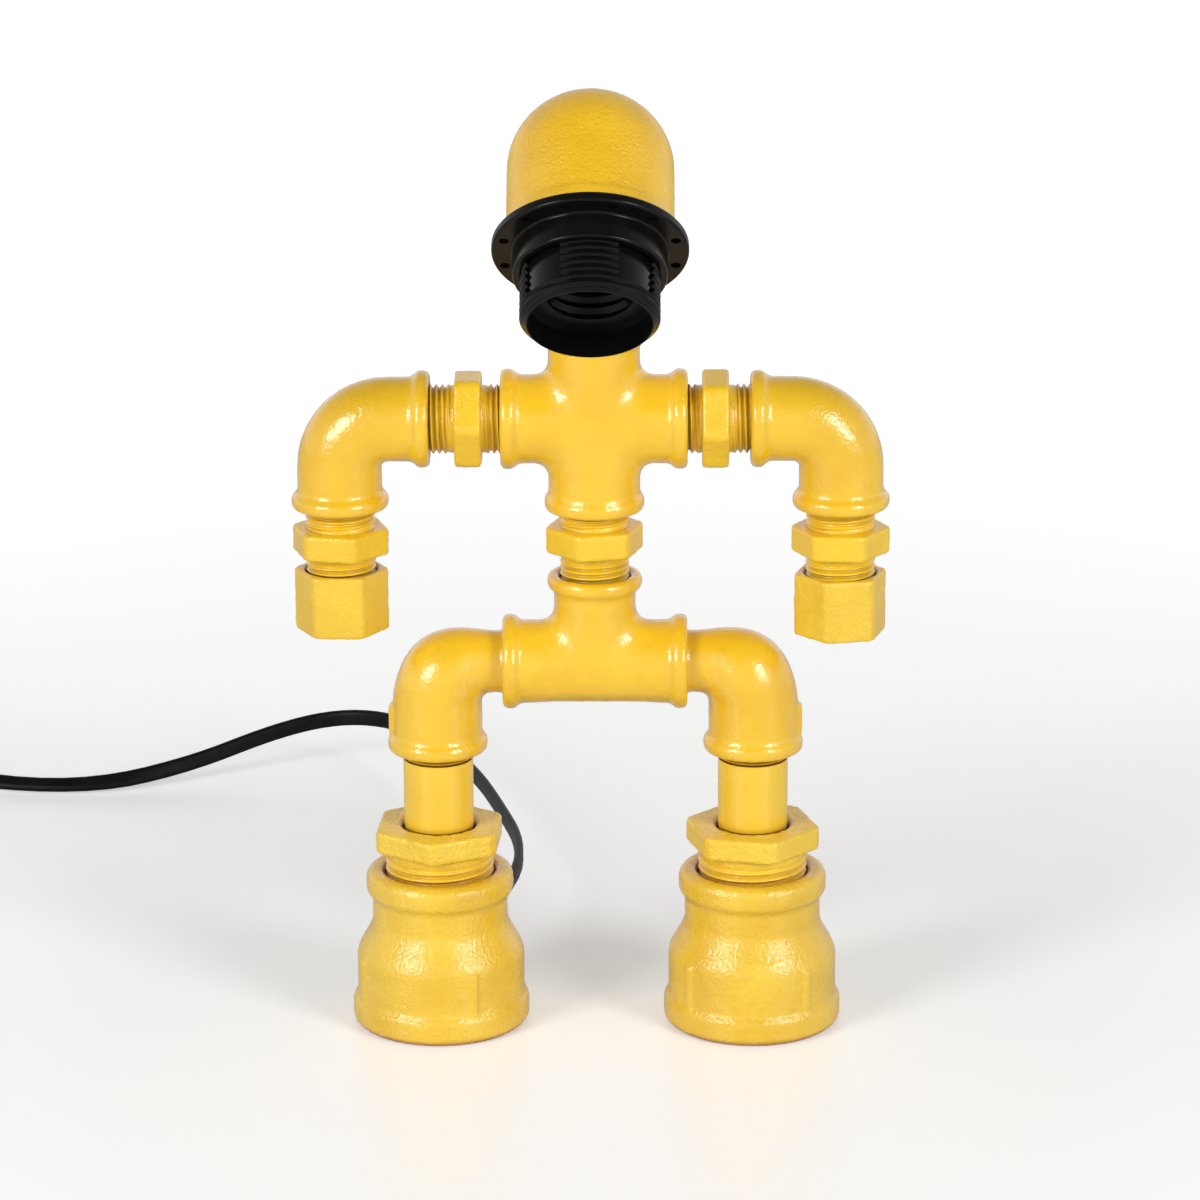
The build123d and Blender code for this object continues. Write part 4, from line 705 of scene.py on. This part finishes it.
holder_moulding = moulding(
    "holder_moulding", dark=(0.0035, 0.0035, 0.0036), light=(0.0046, 0.0046, 0.0044), shine=0.15,
    grain=1800.0, relief=0.03 * mm, specular=0.16)
ring_moulding = moulding(
    "ring_moulding", dark=(0.0045, 0.0042, 0.0036), light=(0.0055, 0.0051, 0.0044), shine=0.17,
    grain=1500.0, relief=0.03 * mm, specular=0.16)
dress(holder_moulding, "lampholder_barrel", "lampholder_cap")
dress(ring_moulding, "shade_ring")

# Contact block and contacts: a white moulded insulator behind the lamp thread, with a sprung centre
# tongue, a side contact and terminal screws.
white_insulator, shader, node, join = new_finish("white_insulator")
where = node("ShaderNodeTexCoord")
speck = node("ShaderNodeTexNoise", Scale=500.0, Detail=5.0)
tone = node("ShaderNodeValToRGB")
set_ramp(tone, 0.0, (0.70, 0.67, 0.60), 1.0, (0.84, 0.82, 0.76))
raised = node("ShaderNodeBump", Strength=0.3, Distance=0.05 * mm)
join(where.outputs["Object"], speck.inputs["Vector"])
join(speck.outputs["Fac"], tone.inputs["Fac"])
join(tone.outputs["Color"], shader.inputs["Base Color"])
join(speck.outputs["Fac"], raised.inputs["Height"])
join(raised.outputs["Normal"], shader.inputs["Normal"])
shader.inputs["Roughness"].default_value = 0.45
dress(white_insulator, "contact_block")


def bare_metal(name, dark, light, roughness, streak):
    """Bare metal with a little tarnish."""
    finish, shader, node, join = new_finish(name)
    where = node("ShaderNodeTexCoord")
    tarnish = node("ShaderNodeTexNoise", Scale=streak, Detail=6.0, Roughness=0.7)
    tone = node("ShaderNodeValToRGB")
    set_ramp(tone, 0.35, dark, 0.65, light)
    dull = node("ShaderNodeMapRange", To_Min=roughness + 0.12, To_Max=roughness - 0.06)
    raised = node("ShaderNodeBump", Strength=0.2, Distance=0.04 * mm)
    join(where.outputs["Object"], tarnish.inputs["Vector"])
    join(tarnish.outputs["Fac"], tone.inputs["Fac"])
    join(tone.outputs["Color"], shader.inputs["Base Color"])
    join(tarnish.outputs["Fac"], dull.inputs["Value"])
    join(dull.outputs["Result"], shader.inputs["Roughness"])
    join(tarnish.outputs["Fac"], raised.inputs["Height"])
    join(raised.outputs["Normal"], shader.inputs["Normal"])
    shader.inputs["Metallic"].default_value = 1.0
    return finish


contact_brass = bare_metal(
    "contact_brass", dark=(0.50, 0.34, 0.13), light=(0.78, 0.58, 0.26), roughness=0.28, streak=350.0)
dress(contact_brass, "centre_contact", "side_contact", "switch_strips")
screw_steel = bare_metal(
    "screw_steel", dark=(0.42, 0.42, 0.43), light=(0.62, 0.62, 0.63), roughness=0.30, streak=600.0)
dress(screw_steel, "terminal_screws", "switch_screws")

# In-line switch and plug: black moulded cases with a fine grain, and a smoother rocker. The strain
# relief in the foot is soft rubber with grooves round it, so that the cord can bend there.
case_moulding = moulding(
    "case_moulding", dark=(0.010, 0.010, 0.0105), light=(0.019, 0.019, 0.0195), shine=0.42,
    grain=1500.0, relief=0.08 * mm, specular=0.45)
dress(case_moulding, "switch_base", "switch_cover", "plug_body")
rocker_moulding = moulding(
    "rocker_moulding", dark=(0.008, 0.008, 0.0085), light=(0.014, 0.014, 0.0145), shine=0.22,
    grain=2200.0, relief=0.03 * mm, specular=0.5)
dress(rocker_moulding, "switch_rocker")
relief_rubber = moulding(
    "relief_rubber", dark=(0.011, 0.011, 0.011), light=(0.024, 0.024, 0.023), shine=0.58,
    grain=900.0, relief=0.10 * mm, specular=0.35)
dress(relief_rubber, "strain_relief")
pin_nickel = bare_metal(
    "pin_nickel", dark=(0.55, 0.53, 0.50), light=(0.72, 0.70, 0.66), roughness=0.18, streak=500.0)
dress(pin_nickel, "plug_pins")

# Stage: a seamless white floor, a white studio that is darker overhead, and the soft light of two
# boxes at the front corners.
half_floor = 6.0
floor_mesh = bpy.data.meshes.new("floor")
floor_corners = [(half_floor * x, half_floor * y, 0) for x, y in ((-1, -1), (1, -1), (1, 1), (-1, 1))]
floor_mesh.from_pydata(floor_corners, [], [(0, 1, 2, 3)])
floor = bpy.data.objects.new("floor", floor_mesh)
scene.collection.objects.link(floor)
white_floor, shader, node, join = new_finish("white_floor")
shader.inputs["Base Color"].default_value = (0.86, 0.86, 0.86, 1)
shader.inputs["Roughness"].default_value = 0.3
shader.inputs["Specular IOR Level"].default_value = 0.4
# Painted light: the floor also glows for the camera only, more the farther it lies from the lamp, which
# whitens the far floor and leaves it greyer round the feet.
seen = node("ShaderNodeLightPath")
where = node("ShaderNodeTexCoord")
from_lamp = node("ShaderNodeVectorMath", operation="LENGTH")
painted_light_falloff = node("ShaderNodeMapRange", From_Min=0.15, From_Max=1.0, To_Min=0.29, To_Max=0.74)
seen_strength = node("ShaderNodeMath", operation="MULTIPLY")
lift = node("ShaderNodeEmission", Color=(1, 1, 1, 1))
both = node("ShaderNodeAddShader")
join(where.outputs["Object"], from_lamp.inputs[0])
join(from_lamp.outputs["Value"], painted_light_falloff.inputs["Value"])
join(seen.outputs["Is Camera Ray"], seen_strength.inputs[0])
join(painted_light_falloff.outputs["Result"], seen_strength.inputs[1])
join(seen_strength.outputs["Value"], lift.inputs["Strength"])
join(shader.outputs["BSDF"], both.inputs[0])
join(lift.outputs["Emission"], both.inputs[1])
join(both.outputs["Shader"], white_floor.node_tree.nodes["Material Output"].inputs["Surface"])
floor_mesh.materials.append(white_floor)

studio = bpy.data.worlds.new("white_studio")
scene.world = studio
studio.use_nodes = True
node = node_maker(studio.node_tree)
join = studio.node_tree.links.new
backdrop = studio.node_tree.nodes["Background"]
ray = node("ShaderNodeLightPath")
seen_or_mirrored = node("ShaderNodeMath", operation="MAXIMUM")
seen_or_clear = node("ShaderNodeMath", operation="MAXIMUM")
brightness = node("ShaderNodeMapRange", To_Min=0.62, To_Max=1.0)
direction = node("ShaderNodeTexCoord")
split_direction = node("ShaderNodeSeparateXYZ")
overhead = node("ShaderNodeValToRGB")
set_ramp(overhead, 0.1, (1, 1, 1), 0.9, (0.14, 0.14, 0.14))
join(ray.outputs["Is Camera Ray"], seen_or_mirrored.inputs[0])
join(ray.outputs["Is Glossy Ray"], seen_or_mirrored.inputs[1])
join(seen_or_mirrored.outputs["Value"], seen_or_clear.inputs[0])
join(ray.outputs["Is Transmission Ray"], seen_or_clear.inputs[1])
join(seen_or_clear.outputs["Value"], brightness.inputs["Value"])
join(brightness.outputs["Result"], backdrop.inputs["Strength"])
join(direction.outputs["Generated"], split_direction.inputs["Vector"])
join(split_direction.outputs["Z"], overhead.inputs["Fac"])
join(overhead.outputs["Color"], backdrop.inputs["Color"])
lamp_middle = Vector((0, 0.04, 0.15))


def soft_box(name, place, width, height, power):
    """A soft light that faces the lamp."""
    light = bpy.data.lights.new(name, "AREA")
    light.shape = "RECTANGLE"
    light.size = width
    light.size_y = height
    light.energy = power
    box = bpy.data.objects.new(name, light)
    box.location = place
    box.rotation_euler = (lamp_middle - Vector(place)).to_track_quat("-Z", "Y").to_euler()
    scene.collection.objects.link(box)


soft_box("left_box", place=(-0.95, -0.90, 0.72), width=0.50, height=0.60, power=10.6)
soft_box("right_box", place=(0.95, -0.90, 0.72), width=0.46, height=0.60, power=9.8)
